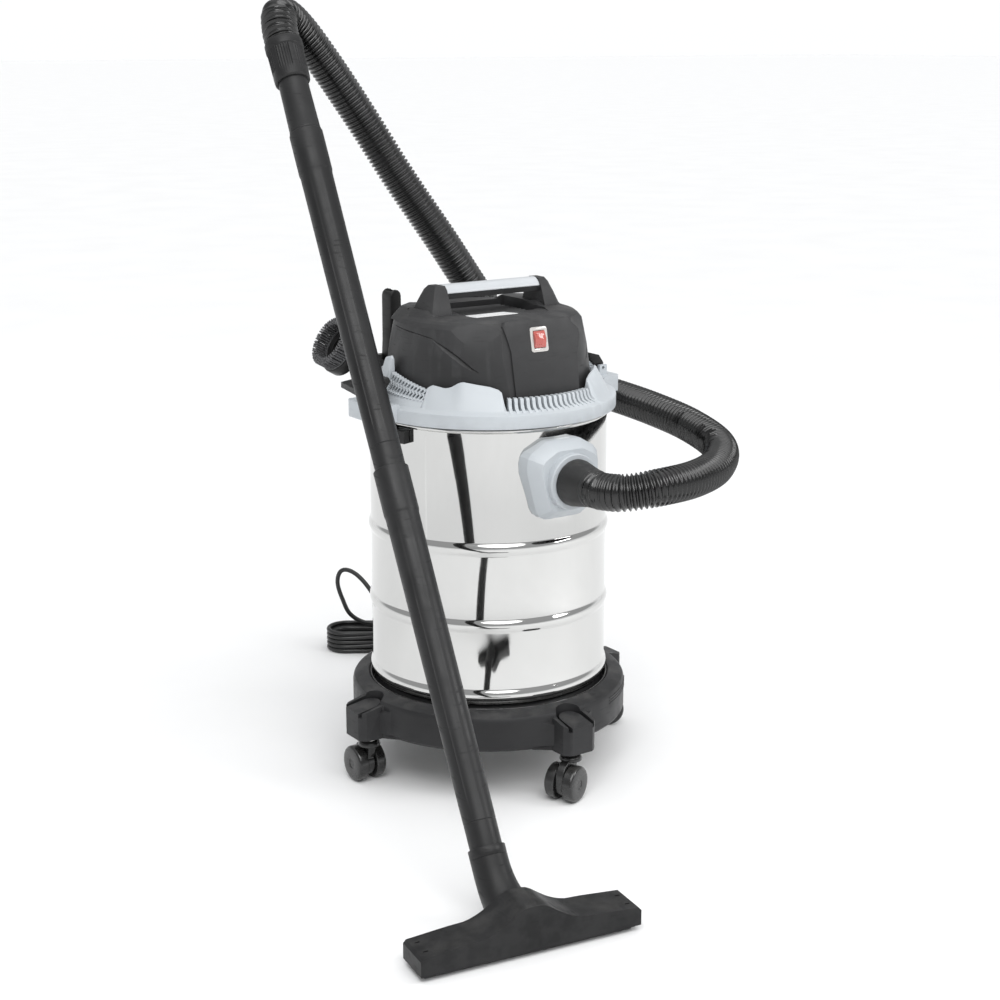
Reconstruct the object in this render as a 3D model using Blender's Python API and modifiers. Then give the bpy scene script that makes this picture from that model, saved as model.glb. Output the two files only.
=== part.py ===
"""Wet and dry shop vacuum: steel drum on a four-caster dolly, lift-off motor head, hose, wand and tools.

The machine is laid out round the drum's axis, with its front (suction inlet and switch) towards -Y.
A parent empty then moves the whole assembly so that the world origin is the middle of its footprint.
"""
import math

import bmesh
import bpy
from mathutils import Euler, Vector, geometry

# ---------------------------------------------------------------- driving dimensions (metres)
ORIGIN_SHIFT = (0.0975, 0.1555, 0.0)

GAP = 0.0003

DRUM_R = 0.165
DRUM_WALL = 0.0015
DRUM_BOTTOM_Z = 0.128
DRUM_TOP_Z = 0.512
BEAD_PROUD = 0.003
BEAD_HALF = 0.016
BEAD_CENTRES_Z = (0.356, 0.252)
BASE_BEAD_Z = 0.150

DOLLY_TOP_Z = 0.124
DOLLY_BOTTOM_Z = 0.075
DOLLY_R = 0.1945
LEDGE_Z = DRUM_BOTTOM_Z - GAP

CASTER_RADIUS = 0.200
CASTER_ANGLES = {"front": -90.0, "right": 0.0, "rear": 90.0, "left": 180.0}
CASTER_TURNS = {"front": 204.0, "right": -35.0, "rear": 150.0, "left": 90.0}
ARM_TOP_Z = 0.110
ARM_BOTTOM_Z = 0.066
ARM_HALF_WIDTH = 0.027
STEM_R = 0.0055
WHEEL_R = 0.025
WHEEL_WIDTH = 0.0155
HOOD_THICKNESS = 0.0125
CASTER_TRAIL = 0.013

INLET_Z = 0.442
INLET_BORE_R = 0.0265
INLET_FACE_Y = -0.203

RIM_R = 0.177
RIM_BOTTOM_Z = 0.513
RIM_TOP_Z = 0.5315
DECK_Z = 0.518
CROWN_FOOT_Z = 0.536
LOUVRE_TOP_Z = 0.550
SIDE_LOUVRE_TOP_Z = 0.556
PANEL_PEAK_Z = 0.574
FIN_TOP_Z = 0.596
EAR_REACH = 0.200
EAR_HALF_WIDTH = 0.036

HEAD_BASE_R = 0.142
HEAD_TOP_Z = 0.648
PANEL_TILT = 11.0
RECESS_FLOOR_Z = 0.628
HANDLE_POST_X = 0.092
SWITCH_Z = 0.619
SWITCH_Y = -0.11804

LATCH_PIVOT = (0.184, 0.0, 0.5480)
LATCH_HALF_WIDTH = 0.014
LATCH_PIN_R = 0.0020

TOOL_PLACE = (-0.0365, 0.195)

MOTOR_R = 0.048

WAND_FOOT = (-0.2886, -0.4222, 0.0872)
WAND_TURN = (math.radians(-34.2), 0.0, math.radians(-8.0))
TUBE_LENGTH = 0.480
TUBE_SOCKET_R = 0.02235
TUBE_TIP_R = 0.0195
WAND_CUFF_START = 1.038
WAND_CUFF_END = 1.100

NOZZLE_FOOT = (-0.299, -0.535, 0.0)
NOZZLE_TURN = math.radians(-8.2)
NOZZLE_LENGTH = 0.279
NOZZLE_DEPTH = 0.050
NOZZLE_PIVOT_Z = 0.0295
NOZZLE_SEAM_Y = 0.0545
NOZZLE_SOCKET_R = 0.0270

HOSE_R = 0.0245
HOSE_ROUTE = (
    (0.0000, -0.2473, 0.4420), (0.0000, -0.2620, 0.4420), (0.0140, -0.2900, 0.4440),
    (0.053, -0.311, 0.450), (0.118, -0.304, 0.451), (0.180, -0.275, 0.454), (0.240, -0.210, 0.461),
    (0.257, -0.130, 0.474), (0.251, -0.050, 0.486), (0.242, 0.030, 0.494), (0.223, 0.106, 0.504),
    (0.180, 0.163, 0.530), (0.112, 0.187, 0.628), (0.050, 0.198, 0.720), (-0.008, 0.215, 0.808),
    (-0.060, 0.229, 0.892), (-0.114, 0.234, 0.968), (-0.158, 0.233, 1.019), (-0.190, 0.219, 1.034),
    (-0.20113, 0.20036, 1.01219), (-0.20254, 0.19034, 0.99731),
)

CORD_R = 0.0037
GLAND_X = 0.062
GLAND_Z = 0.580
HANK_CENTRE = (0.1041, 0.4726)
HANK_TURN = math.radians(-34.0)
HANK_RUN = 0.125
HANK_HALF_WIDTH = 0.0345
HANK_HEIGHT = 0.0415
HANK_LANE = 0.0299
PLUG_R = 0.0185
PLUG_TILT = math.radians(10.0)
PLUG_TAIL_Z = 0.0118
CORD_ROUTE = (
    (GLAND_X, 0.1678, GLAND_Z), (GLAND_X, 0.1780, GLAND_Z), (0.064, 0.198, 0.574), (0.065, 0.210, 0.555),
    (0.063, 0.213, 0.520), (0.055, 0.213, 0.430), (0.045, 0.218, 0.340), (0.035, 0.228, 0.250),
    (0.028, 0.248, 0.170), (0.030, 0.285, 0.110), (0.045, 0.340, 0.078), (0.062, 0.400, 0.083), (0.0732, 0.457, 0.108),
    (0.0640, 0.492, 0.132), (0.0500, 0.513, 0.136), (0.0440, 0.520, 0.115), (0.0500, 0.5125, 0.082),
    (0.0600, 0.5030, 0.0520), (0.0600, 0.5030, 0.0423),
)


# ---------------------------------------------------------------- scene and helpers
def clear_scene():
    for item in list(bpy.data.objects):
        bpy.data.objects.remove(item, do_unlink=True)


def make_collection(name):
    group = bpy.data.collections.new(name)
    bpy.context.scene.collection.children.link(group)
    return group


def make_empty(name, location, rotation=(0.0, 0.0, 0.0), parent=None):
    empty = bpy.data.objects.new(name, None)
    PARTS.objects.link(empty)
    empty.location = location
    empty.rotation_euler = rotation
    empty.parent = parent
    return empty


def make_finish(name, colour, roughness, metallic=0.0):
    finish = bpy.data.materials.new(name)
    finish.use_nodes = True
    shader = finish.node_tree.nodes["Principled BSDF"]
    shader.inputs["Base Color"].default_value = (*colour, 1.0)
    shader.inputs["Roughness"].default_value = roughness
    shader.inputs["Metallic"].default_value = metallic
    return finish


def add_object(name, data, finish, location, rotation, parent):
    """Link a node; with no finish it is a cutter or a joining tool, which isn't a node."""
    item = bpy.data.objects.new(name, data)
    item.location = location
    item.rotation_euler = rotation
    item.parent = parent or MACHINE
    if finish is None:
        CUTTERS.objects.link(item)
        item.hide_render = True
        item.display_type = "WIRE"
    else:
        PARTS.objects.link(item)
        data.materials.append(finish)
    return item


def smooth(mesh, angle=35.0):
    mesh.shade_smooth()
    mesh.set_sharp_from_angle(angle=math.radians(angle))


def turned(name, profile, finish=None, steps=48, closed=False, location=(0, 0, 0), rotation=(0, 0, 0),
           parent=None):
    """Turn a profile of (radius, height) points round Z; its outer side runs from top to bottom."""
    mesh = bpy.data.meshes.new(name)
    points = [(radius, 0.0, height) for radius, height in profile]
    edges = [(i, i + 1) for i in range(len(points) - 1)]
    if closed:
        edges.append((len(points) - 1, 0))
    mesh.from_pydata(points, edges, [])
    item = add_object(name, mesh, finish, location, rotation, parent)
    screw = item.modifiers.new("turn", "SCREW")
    screw.axis = "Z"
    screw.steps = steps
    screw.render_steps = steps
    screw.use_merge_vertices = True
    screw.merge_threshold = 0.00005
    screw.use_smooth_shade = True
    return item


def block(name, size, finish=None, location=(0, 0, 0), rotation=(0, 0, 0), parent=None, bevel=0.0, segments=1):
    mesh = bpy.data.meshes.new(name)
    work = bmesh.new()
    bmesh.ops.create_cube(work, size=1.0)
    bmesh.ops.scale(work, vec=size, verts=work.verts)
    work.to_mesh(mesh)
    work.free()
    item = add_object(name, mesh, finish, location, rotation, parent)
    if bevel > 0.0:
        soften(item, bevel, segments)
    return item


def soften(item, width, segments=1, angle=40.0):
    bevel = item.modifiers.new("soften", "BEVEL")
    bevel.width = width
    bevel.segments = segments
    bevel.limit_method = "ANGLE"
    bevel.angle_limit = math.radians(angle)


def rod(name, radius, length, finish=None, location=(0, 0, 0), rotation=(0, 0, 0), parent=None, sides=24,
        far_radius=None):
    """A cylinder or cone along its own Z, centred on its location."""
    mesh = bpy.data.meshes.new(name)
    work = bmesh.new()
    bmesh.ops.create_cone(work, cap_ends=True, segments=sides, radius1=radius,
                          radius2=radius if far_radius is None else far_radius, depth=length)
    work.to_mesh(mesh)
    work.free()
    smooth(mesh)
    return add_object(name, mesh, finish, location, rotation, parent)


def slab(name, outline, thickness, finish=None, location=(0, 0, 0), rotation=(0, 0, 0), parent=None):
    """Extrude a flat outline of (x, y) points along its own Z, centred on its location."""
    curve = bpy.data.curves.new(name, "CURVE")
    curve.dimensions = "2D"
    curve.fill_mode = "BOTH"
    curve.extrude = thickness / 2
    spline = curve.splines.new("POLY")
    spline.points.add(len(outline) - 1)
    for point, (x, y) in zip(spline.points, outline):
        point.co = (x, y, 0.0, 1.0)
    spline.use_cyclic_u = True
    guide = bpy.data.objects.new(name + "_outline", curve)
    mesh = mesh_from_curve(guide, name)
    return add_object(name, mesh, finish, location, rotation, parent)


def mesh_from_curve(guide, name):
    """Turn a curve object into a welded mesh and remove the curve."""
    CUTTERS.objects.link(guide)
    bpy.context.view_layer.update()
    evaluated = guide.evaluated_get(bpy.context.evaluated_depsgraph_get())
    mesh = bpy.data.meshes.new_from_object(evaluated)
    mesh.name = name
    work = bmesh.new()
    work.from_mesh(mesh)
    bmesh.ops.remove_doubles(work, verts=work.verts, dist=0.00001)
    bmesh.ops.recalc_face_normals(work, faces=work.faces)
    work.to_mesh(mesh)
    work.free()
    bpy.data.objects.remove(guide, do_unlink=True)
    return mesh


def tube(name, points, radius, finish, parent=None, resolution=2):
    """A round solid tube along a poly line, with filled ends."""
    curve = bpy.data.curves.new(name, "CURVE")
    curve.dimensions = "3D"
    curve.bevel_depth = radius
    curve.bevel_resolution = resolution
    curve.use_fill_caps = True
    spline = curve.splines.new("POLY")
    spline.points.add(len(points) - 1)
    for point, place in zip(spline.points, points):
        point.co = (*place, 1.0)
    return add_object(name, curve, finish, (0, 0, 0), (0, 0, 0), parent)


def loft_ring(name, sections, finish):
    """Join equal closed sections, set round a ring, into one closed body."""
    count = len(sections[0])
    points = [point for section in sections for point in section]
    faces = []
    for row in range(len(sections)):
        following = (row + 1) % len(sections)
        for col in range(count):
            after = (col + 1) % count
            faces.append((row * count + col, following * count + col,
                          following * count + after, row * count + after))
    mesh = bpy.data.meshes.new(name)
    mesh.from_pydata(points, [], faces)
    work = bmesh.new()
    work.from_mesh(mesh)
    bmesh.ops.recalc_face_normals(work, faces=work.faces)
    work.to_mesh(mesh)
    work.free()
    smooth(mesh)
    return add_object(name, mesh, finish, (0, 0, 0), (0, 0, 0), None)


def combine(item, tool, operation):
    boolean = item.modifiers.new(operation.lower() + "_" + tool.name, "BOOLEAN")
    boolean.operation = operation
    boolean.solver = "EXACT"
    boolean.object = tool


def cut(item, *tools):
    for tool in tools:
        combine(item, tool, "DIFFERENCE")


def fuse(item, *tools):
    for tool in tools:
        combine(item, tool, "UNION")


def arc(centre, radius, start, end, steps):
    """Points on an arc, angles in degrees."""
    points = []
    for i in range(steps + 1):
        angle = math.radians(start + (end - start) * i / steps)
        points.append((centre[0] + radius * math.cos(angle), centre[1] + radius * math.sin(angle)))
    return points


def rounded_box_outline(half_x, half_y, radius, steps=3):
    """A rectangle with round corners, or cut ones when steps is 1."""
    outline = []
    for sign_x, sign_y, start in ((1, 1, 0), (-1, 1, 90), (-1, -1, 180), (1, -1, 270)):
        centre = (sign_x * (half_x - radius), sign_y * (half_y - radius))
        outline += arc(centre, radius, start, start + 90, steps)
    return outline


def smooth_route(points, spacing):
    """Read evenly spaced points from a smooth curve through the given ones."""
    places = [Vector(point) for point in points]
    fine = []
    for i in range(len(places) - 1):
        before = places[max(i - 1, 0)]
        after = places[min(i + 2, len(places) - 1)]
        start, end = places[i], places[i + 1]
        reach = (end - start).length / 3
        lead = (end - before).normalized() * reach
        trail = (after - start).normalized() * reach
        bezier = geometry.interpolate_bezier(start, start + lead, end - trail, end, 24)
        fine += bezier if i == 0 else bezier[1:]
    total = sum((b - a).length for a, b in zip(fine, fine[1:]))
    count = round(total / spacing)
    step = total / count
    route = [fine[0]]
    travelled = 0.0
    for a, b in zip(fine, fine[1:]):
        length = (b - a).length
        while len(route) < count and travelled + length >= step * len(route):
            route.append(a.lerp(b, (step * len(route) - travelled) / length))
        travelled += length
    route.append(fine[-1])
    return [tuple(point) for point in route]


def laid_route(points, spacing):
    """A route whose first and last stretches stay straight, square to what they meet."""
    return [points[0]] + smooth_route(points[1:-1], spacing) + [points[-1]]


# ---------------------------------------------------------------- drum and dolly
def bead_profile(centre, radius):
    """One rolled bead of the drum wall, from its upper to its lower edge."""
    proud = radius + BEAD_PROUD
    return [(radius, centre + BEAD_HALF + 0.002), (proud, centre + BEAD_HALF - 0.006),
            (proud, centre - BEAD_HALF + 0.006), (radius, centre - BEAD_HALF)]


def make_drum():
    inner = DRUM_R - DRUM_WALL
    profile = [(0.0, DRUM_BOTTOM_Z + DRUM_WALL), (0.157, DRUM_BOTTOM_Z + DRUM_WALL),
               (inner, DRUM_BOTTOM_Z + 0.008), (inner, DRUM_TOP_Z - 0.0015),
               (DRUM_R + 0.0005, DRUM_TOP_Z), (DRUM_R + 0.0035, DRUM_TOP_Z - 0.001),
               (DRUM_R + 0.0035, DRUM_TOP_Z - 0.005), (DRUM_R, DRUM_TOP_Z - 0.0065)]
    for centre in BEAD_CENTRES_Z:
        profile += bead_profile(centre, DRUM_R)
    profile += bead_profile(BASE_BEAD_Z, DRUM_R)
    profile += [(0.160, DRUM_BOTTOM_Z), (0.0, DRUM_BOTTOM_Z)]
    drum = turned("drum", profile, STEEL, steps=40)
    cut(drum, rod("inlet_hole", INLET_BORE_R, 0.06, location=(0, -DRUM_R, INLET_Z), rotation=ACROSS_Y))
    return drum


def make_dolly():
    profile = [(0.180, DOLLY_TOP_Z), (0.190, DOLLY_TOP_Z), (DOLLY_R, DOLLY_TOP_Z - 0.005),
               (DOLLY_R, DOLLY_BOTTOM_Z), (0.190, DOLLY_BOTTOM_Z), (0.189, 0.099), (0.132, 0.099),
               (0.132, LEDGE_Z), (0.156, LEDGE_Z), (0.164, 0.108), (0.177, 0.108)]
    dolly = turned("dolly_base", profile, BLACK_PLASTIC, steps=32, closed=True)
    for place, angle in CASTER_ANGLES.items():
        turn = math.radians(angle)
        centre = (CASTER_RADIUS * math.cos(turn), CASTER_RADIUS * math.sin(turn))
        root = -(CASTER_RADIUS - 0.184)
        outline = [(root, -0.044), (-0.004, -ARM_HALF_WIDTH)]
        outline += arc((0.0, 0.0), ARM_HALF_WIDTH, -75, 75, 6)
        outline += [(-0.004, ARM_HALF_WIDTH), (root, 0.044)]
        arm_middle = (ARM_TOP_Z + ARM_BOTTOM_Z) / 2
        arm = slab("arm_" + place, outline, ARM_TOP_Z - ARM_BOTTOM_Z, location=(*centre, arm_middle),
                   rotation=(0, 0, turn))
        boss = rod("boss_" + place, 0.0175, 0.016, location=(*centre, ARM_TOP_Z - 0.001), far_radius=0.0155,
                   sides=16)
        bore = rod("stem_bore_" + place, STEM_R + GAP, 0.036, location=(*centre, ARM_BOTTOM_Z + 0.013), sides=12)
        fuse(dolly, arm, boss)
        cut(dolly, bore)
    return dolly


def make_caster(place, angle, turn):
    direction = math.radians(angle)
    axis = (CASTER_RADIUS * math.cos(direction), CASTER_RADIUS * math.sin(direction), 0.0)
    swivel = make_empty("caster_axis_" + place, axis, (0, 0, math.radians(turn)), MACHINE)
    stem_profile = [(0.0, 0.095), (STEM_R, 0.095), (STEM_R, 0.0655), (0.0105, 0.0655), (0.0105, 0.0615),
                    (0.0, 0.0615)]
    turned("caster_stem_" + place, stem_profile, ZINC, steps=12, parent=swivel)
    hub = (CASTER_TRAIL, WHEEL_R)
    outline = arc(hub, 0.0185, 150, 360, 7) + [(hub[0] + 0.016, 0.044), (0.010, 0.0592), (-0.012, 0.0592)]
    hood = slab("caster_hood_" + place, outline, HOOD_THICKNESS, BLACK_PLASTIC, rotation=ACROSS_Y,
                parent=swivel)
    cap = rod("hood_cap_" + place, 0.0155, 0.0085, location=(0, 0, 0.0569), parent=swivel, sides=16,
              far_radius=0.0125)
    axle = rod("caster_axle_" + place, 0.0030, 0.0405, location=(hub[0], 0, hub[1]), rotation=ACROSS_Y,
               parent=swivel, sides=10)
    fuse(hood, cap, axle)
    wheel_profile = [(0.0034, WHEEL_WIDTH / 2), (0.0215, WHEEL_WIDTH / 2), (WHEEL_R, WHEEL_WIDTH / 2 - 0.0035),
                     (WHEEL_R, -WHEEL_WIDTH / 2), (0.0034, -WHEEL_WIDTH / 2)]
    for side, sign in (("left", 1), ("right", -1)):
        middle = sign * (HOOD_THICKNESS / 2 + GAP + WHEEL_WIDTH / 2)
        facing = (math.radians(-90 * sign), 0, 0)
        turned("caster_wheel_" + place + "_" + side, wheel_profile, WHEEL_PLASTIC, steps=20, closed=True,
               location=(hub[0], middle, hub[1]), rotation=facing, parent=swivel)


def make_inlet():
    """The square inlet housing bolted to the drum, and the swivelling cuff of the hose in it."""
    base_y = -0.1555
    depth = base_y - (-0.186)
    housing = slab("inlet_housing", rounded_box_outline(0.057, 0.053, 0.024, 3), depth, PALE_PLASTIC,
                   location=(0, base_y - depth / 2, INLET_Z), rotation=ACROSS_Y)
    front = slab("inlet_front", rounded_box_outline(0.050, 0.046, 0.020, 3), 0.0175,
                 location=(0, -0.1845, INLET_Z + 0.001), rotation=ACROSS_Y)
    collar = rod("inlet_collar", 0.0375, 0.030, location=(0, INLET_FACE_Y + 0.015, INLET_Z), rotation=ACROSS_Y,
                 sides=32)
    drum_space = rod("inlet_drum_space", DRUM_R + GAP, 0.2, location=(0, 0, INLET_Z), sides=96)
    bore = rod("inlet_bore", INLET_BORE_R, 0.12, location=(0, -0.19, INLET_Z), rotation=ACROSS_Y, sides=24)
    fuse(housing, front, collar)
    cut(housing, drum_space, bore)
    outer = INLET_BORE_R - GAP
    cuff_profile = [(0.0205, 0.044), (0.0250, 0.044), (0.0262, 0.032), (0.0300, 0.014), (0.0312, 0.0045),
                    (0.0312, GAP), (outer, GAP), (outer, -0.030), (0.0205, -0.030)]
    turned("hose_inlet_cuff", cuff_profile, BLACK_RUBBER, steps=24, closed=True,
           location=(0, INLET_FACE_Y, INLET_Z), rotation=ACROSS_Y)


# ---------------------------------------------------------------- lid and motor head
def crest_height(angle):
    """Top of the lid's crown by angle from the front, in degrees; both sides are alike."""
    turn = abs(angle)
    steps = ((0, LOUVRE_TOP_Z), (24, LOUVRE_TOP_Z - 0.002), (27, 0.562), (34, 0.571), (45, PANEL_PEAK_Z),
             (53, 0.567), (57, 0.564), (63, 0.569), (66, SIDE_LOUVRE_TOP_Z), (90, SIDE_LOUVRE_TOP_Z - 0.004),
             (94, FIN_TOP_Z), (104, 0.590), (112, 0.566), (150, 0.560), (180, 0.560))
    for (a, low), (b, high) in zip(steps, steps[1:]):
        if turn <= b:
            return low + (high - low) * (turn - a) / (b - a)
    return steps[-1][1]


def lid_section(angle):
    crest = crest_height(angle)
    turn = math.radians(angle)
    lean = min((crest - CROWN_FOOT_Z) * 0.42, 0.0125)
    profile = [(0.1625 - lean, crest), (0.1655, CROWN_FOOT_Z), (RIM_R, RIM_TOP_Z), (RIM_R, RIM_BOTTOM_Z),
               (0.1712, RIM_BOTTOM_Z), (0.1712, DECK_Z + 0.0012), (0.1585, DECK_Z + 0.0012),
               (0.1585, RIM_BOTTOM_Z), (0.100, RIM_BOTTOM_Z), (0.100, DECK_Z), (0.1455, DECK_Z),
               (0.1455, CROWN_FOOT_Z - 0.002), (0.1585 - lean, crest - 0.002)]
    return [(radius * math.sin(turn), -radius * math.cos(turn), height) for radius, height in profile]


def make_lid():
    steps = [i * 9.0 for i in range(-20, 20)]
    corners = (-94, -66, -63, -57, -53, -45, -34, -27, 27, 34, 45, 53, 57, 63, 94)
    steps = [step for step in steps if all(abs(step - corner) > 3.0 for corner in corners)]
    lid = loft_ring("lid_ring", [lid_section(angle) for angle in sorted(steps + list(corners))], PALE_PLASTIC)
    sides = (("left", -1), ("right", 1))
    cheeks = {}
    for side, sign in sides:
        cheeks[side] = [make_cheek(side, sign, end) for end in (-1, 1)]
        fuse(lid, make_ear(side, sign), *cheeks[side])
    for side, sign in sides:
        slot = block("latch_slot_" + side, (0.0238, 2 * LATCH_HALF_WIDTH + 0.004, 0.12),
                     location=(sign * 0.1848, 0, 0.540))
        cut(lid, slot)
        bore = pin_rod("latch_bore_" + side, sign, LATCH_PIN_R + GAP, 0.05)
        for cheek in cheeks[side]:
            cut(cheek, bore)
        pin_rod("latch_pin_" + side, sign, LATCH_PIN_R, 0.0365, ZINC)
        make_latch(side, sign)
        make_catch_plate(side, sign)


def make_ear(side, sign):
    """The ear that carries a latch, standing out from the lid's rim."""
    half = EAR_HALF_WIDTH
    outline = [(0.188, -half), (0.196, -half + 0.002), (EAR_REACH, -half + 0.010)]
    outline += [(x, -y) for x, y in reversed(outline)]
    outline += arc((0.0, 0.0), RIM_R - 0.0028, 15, -15, 6)
    return slab("lid_ear_" + side, [(sign * x, y) for x, y in outline], 0.0225, location=(0, 0, 0.52625))


def make_cheek(side, sign, end):
    """One of the two lugs that hold a latch pin."""
    place = (sign * LATCH_PIVOT[0], end * (LATCH_HALF_WIDTH + 0.0052), 0.5450)
    return block("latch_cheek_%s_%d" % (side, end), (0.015, 0.005, 0.022), location=place, bevel=0.003)


def pin_rod(name, sign, radius, length, finish=None):
    place = (sign * LATCH_PIVOT[0], 0, LATCH_PIVOT[2])
    return rod(name, radius, length, finish, location=place, rotation=ACROSS_Y, sides=12)


def make_latch(side, sign):
    """A latch lever on its pin: thumb tab above the ear, and a leg down to the catch on the drum."""
    outline = [(-0.0045, -0.066), (-0.0075, -0.064), (-0.0075, -0.060), (-0.0045, -0.058), (-0.0040, -0.006),
               (-0.0075, 0.000), (-0.0190, 0.0160), (-0.0165, 0.0215), (-0.0020, 0.0175), (0.0060, 0.0060),
               (0.0052, -0.003), (0.0000, -0.009), (-0.0010, -0.064)]
    points = [(sign * x, z) for x, z in outline]
    latch = slab("latch_" + side, points, 2 * LATCH_HALF_WIDTH, BLACK_PLASTIC,
                 location=(sign * LATCH_PIVOT[0], 0, LATCH_PIVOT[2]), rotation=ACROSS_Y)
    cut(latch, pin_rod("lever_bore_" + side, sign, LATCH_PIN_R + GAP, 0.05))


def make_catch_plate(side, sign):
    """Curved plate riveted to the drum under the ear, which the latch's leg snaps over."""
    start, end = 69.0, 111.0
    plate = arc((0, 0), DRUM_R + 0.0105, start, end, 8) + arc((0, 0), DRUM_R + GAP, end, start, 14)
    slab("catch_plate_" + side, plate, 0.0175, BLACK_PLASTIC, location=(0, 0, 0.49450),
         rotation=(0, 0, math.radians(-90.0 * sign)))


def head_space(name, inset, finish=None):
    """The motor cover's outer shape, or its inside when inset: a taper with a flat front panel."""
    top = HEAD_TOP_Z - inset
    base = DECK_Z + GAP if inset == 0 else DECK_Z - 0.01
    profile = [(0.0, top), (0.098 - inset, top - 0.001), (0.1195 - inset, top - 0.005),
               (0.1285 - inset, top - 0.014), (0.1355 - inset, 0.600), (HEAD_BASE_R - inset, 0.550),
               (HEAD_BASE_R - inset, base), (0.0, base)]
    body = turned(name, profile, finish, steps=36)
    tilt = math.radians(PANEL_TILT)
    panel = block(name + "_panel", (0.30, 0.10, 0.30), location=(0, -0.1715 + inset, 0.606),
                  rotation=(-tilt, 0, 0))
    cut(body, panel)
    return body


def make_head_cover():
    cover = head_space("motor_cover", 0.0, GREY_PLASTIC)
    cavity = head_space("motor_cover_cavity", 0.004)
    well = slab("top_well", [(-0.066, -0.058), (0.052, -0.058), (0.066, -0.030), (0.066, 0.062), (-0.066, 0.062)],
                0.06, location=(0, 0, RECESS_FLOOR_Z + 0.03))
    vent = slab("vent_opening", rounded_box_outline(0.054, 0.046, 0.004, 2), 0.04, location=(0, 0.008, 0.625))
    floor = block("well_floor", (0.150, 0.140, 0.026), location=(0, 0.001, 0.632))
    hole = block("switch_hole", (0.0225, 0.03, 0.0275), location=(0, SWITCH_Y, SWITCH_Z),
                 rotation=(-math.radians(PANEL_TILT), 0, 0))
    cord_hole = rod("cord_hole", 0.0062, 0.05, location=(GLAND_X, 0.125, GLAND_Z), rotation=ACROSS_Y, sides=16)
    cut(cover, cavity)
    fuse(cover, floor)
    cut(cover, well, vent, hole, cord_hole)
    return cover


def make_top_grille():
    """The slatted vent set into the well under the handle."""
    frame = slab("top_grille", rounded_box_outline(0.0535, 0.0455, 0.004, 2), 0.0065, DARK_PLASTIC,
                 location=(0, 0.008, 0.6235))
    opening = block("grille_opening", (0.099, 0.083, 0.03), location=(0, 0.008, 0.6235))
    cut(frame, opening)
    for i in range(6):
        slat = block("slat_%d" % i, (0.102, 0.0022, 0.010), location=(0, -0.0265 + i * 0.0138, 0.6235),
                     rotation=(math.radians(-48), 0, 0))
        fuse(frame, slat)
    return frame


def make_handle():
    """Handle bar with its two posts, and the bright cap on top of it."""
    base_z = HEAD_TOP_Z - 0.0040
    outline = [(-0.0270, base_z), (0.0270, base_z), (0.0245, 0.6565), (0.0150, 0.6820), (0.0095, 0.6893),
               (-0.0095, 0.6893), (-0.0150, 0.6820), (-0.0245, 0.6565)]
    bar = slab("handle_bar", [(y, z - 0.6735) for y, z in [(-0.0130, 0.6690), (0.0130, 0.6690), (0.0145, 0.6765),
                                                          (-0.0145, 0.6765)]],
               0.19, GREY_PLASTIC, location=(0, 0, 0.6735), rotation=ALONG_X)
    for sign in (-1, 1):
        post = slab("handle_post_%d" % sign, [(y, z - 0.665) for y, z in outline], 0.0235,
                    location=(sign * HANDLE_POST_X, 0, 0.665), rotation=ALONG_X)
        soften(post, 0.0025)
        fuse(bar, post)
    cut(bar, make_head_seat())
    cap_line = [(-0.0150, 0.6769), (0.0150, 0.6769)] + arc((0.0, 0.6725), 0.0165, 28, 152, 6)
    cap_half = HANDLE_POST_X - 0.0235 / 2 - GAP
    slab("handle_cap", [(y, z - 0.68) for y, z in cap_line], 2 * cap_half, SILVER_PLASTIC,
         location=(0, 0, 0.68), rotation=ALONG_X)
    return bar


def make_head_seat():
    """The space of the motor cover with its gap, to seat the handle posts on."""
    top = HEAD_TOP_Z + GAP
    profile = [(0.0, top), (0.098, top - 0.001), (0.1195 + GAP, top - 0.005), (0.1285 + GAP, top - 0.014),
               (0.1355 + GAP, 0.600), (0.0, 0.600)]
    return turned("head_seat", profile, steps=36)


def make_switch():
    """Rocker switch in the front panel; the rocker tips about a pin across its middle."""
    tilt = math.radians(PANEL_TILT)
    axis = make_empty("switch_axis", (0, SWITCH_Y, SWITCH_Z), (-tilt, 0, 0), MACHINE)
    bezel = slab("switch_bezel", rounded_box_outline(0.0135, 0.0165, 0.003, 2), 0.0030, CLEAR_PLASTIC,
                 location=(0, -0.0018, 0), rotation=ACROSS_Y, parent=axis)
    body = block("switch_body", (0.0215, 0.018, 0.0265), location=(0, 0.0085, 0), parent=axis)
    window = block("switch_window", (0.0185, 0.05, 0.0235), location=(0, -0.0185, 0), parent=axis)
    fuse(bezel, body)
    cut(bezel, window)
    outline = [(-0.0046, -0.0112), (-0.0075, 0.0000), (-0.0046, 0.0112), (0.0010, 0.0106), (0.0042, 0.0000),
               (0.0010, -0.0106)]
    slab("switch_rocker", outline, 0.0178, RED_PLASTIC, rotation=ALONG_X, parent=axis)


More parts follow.
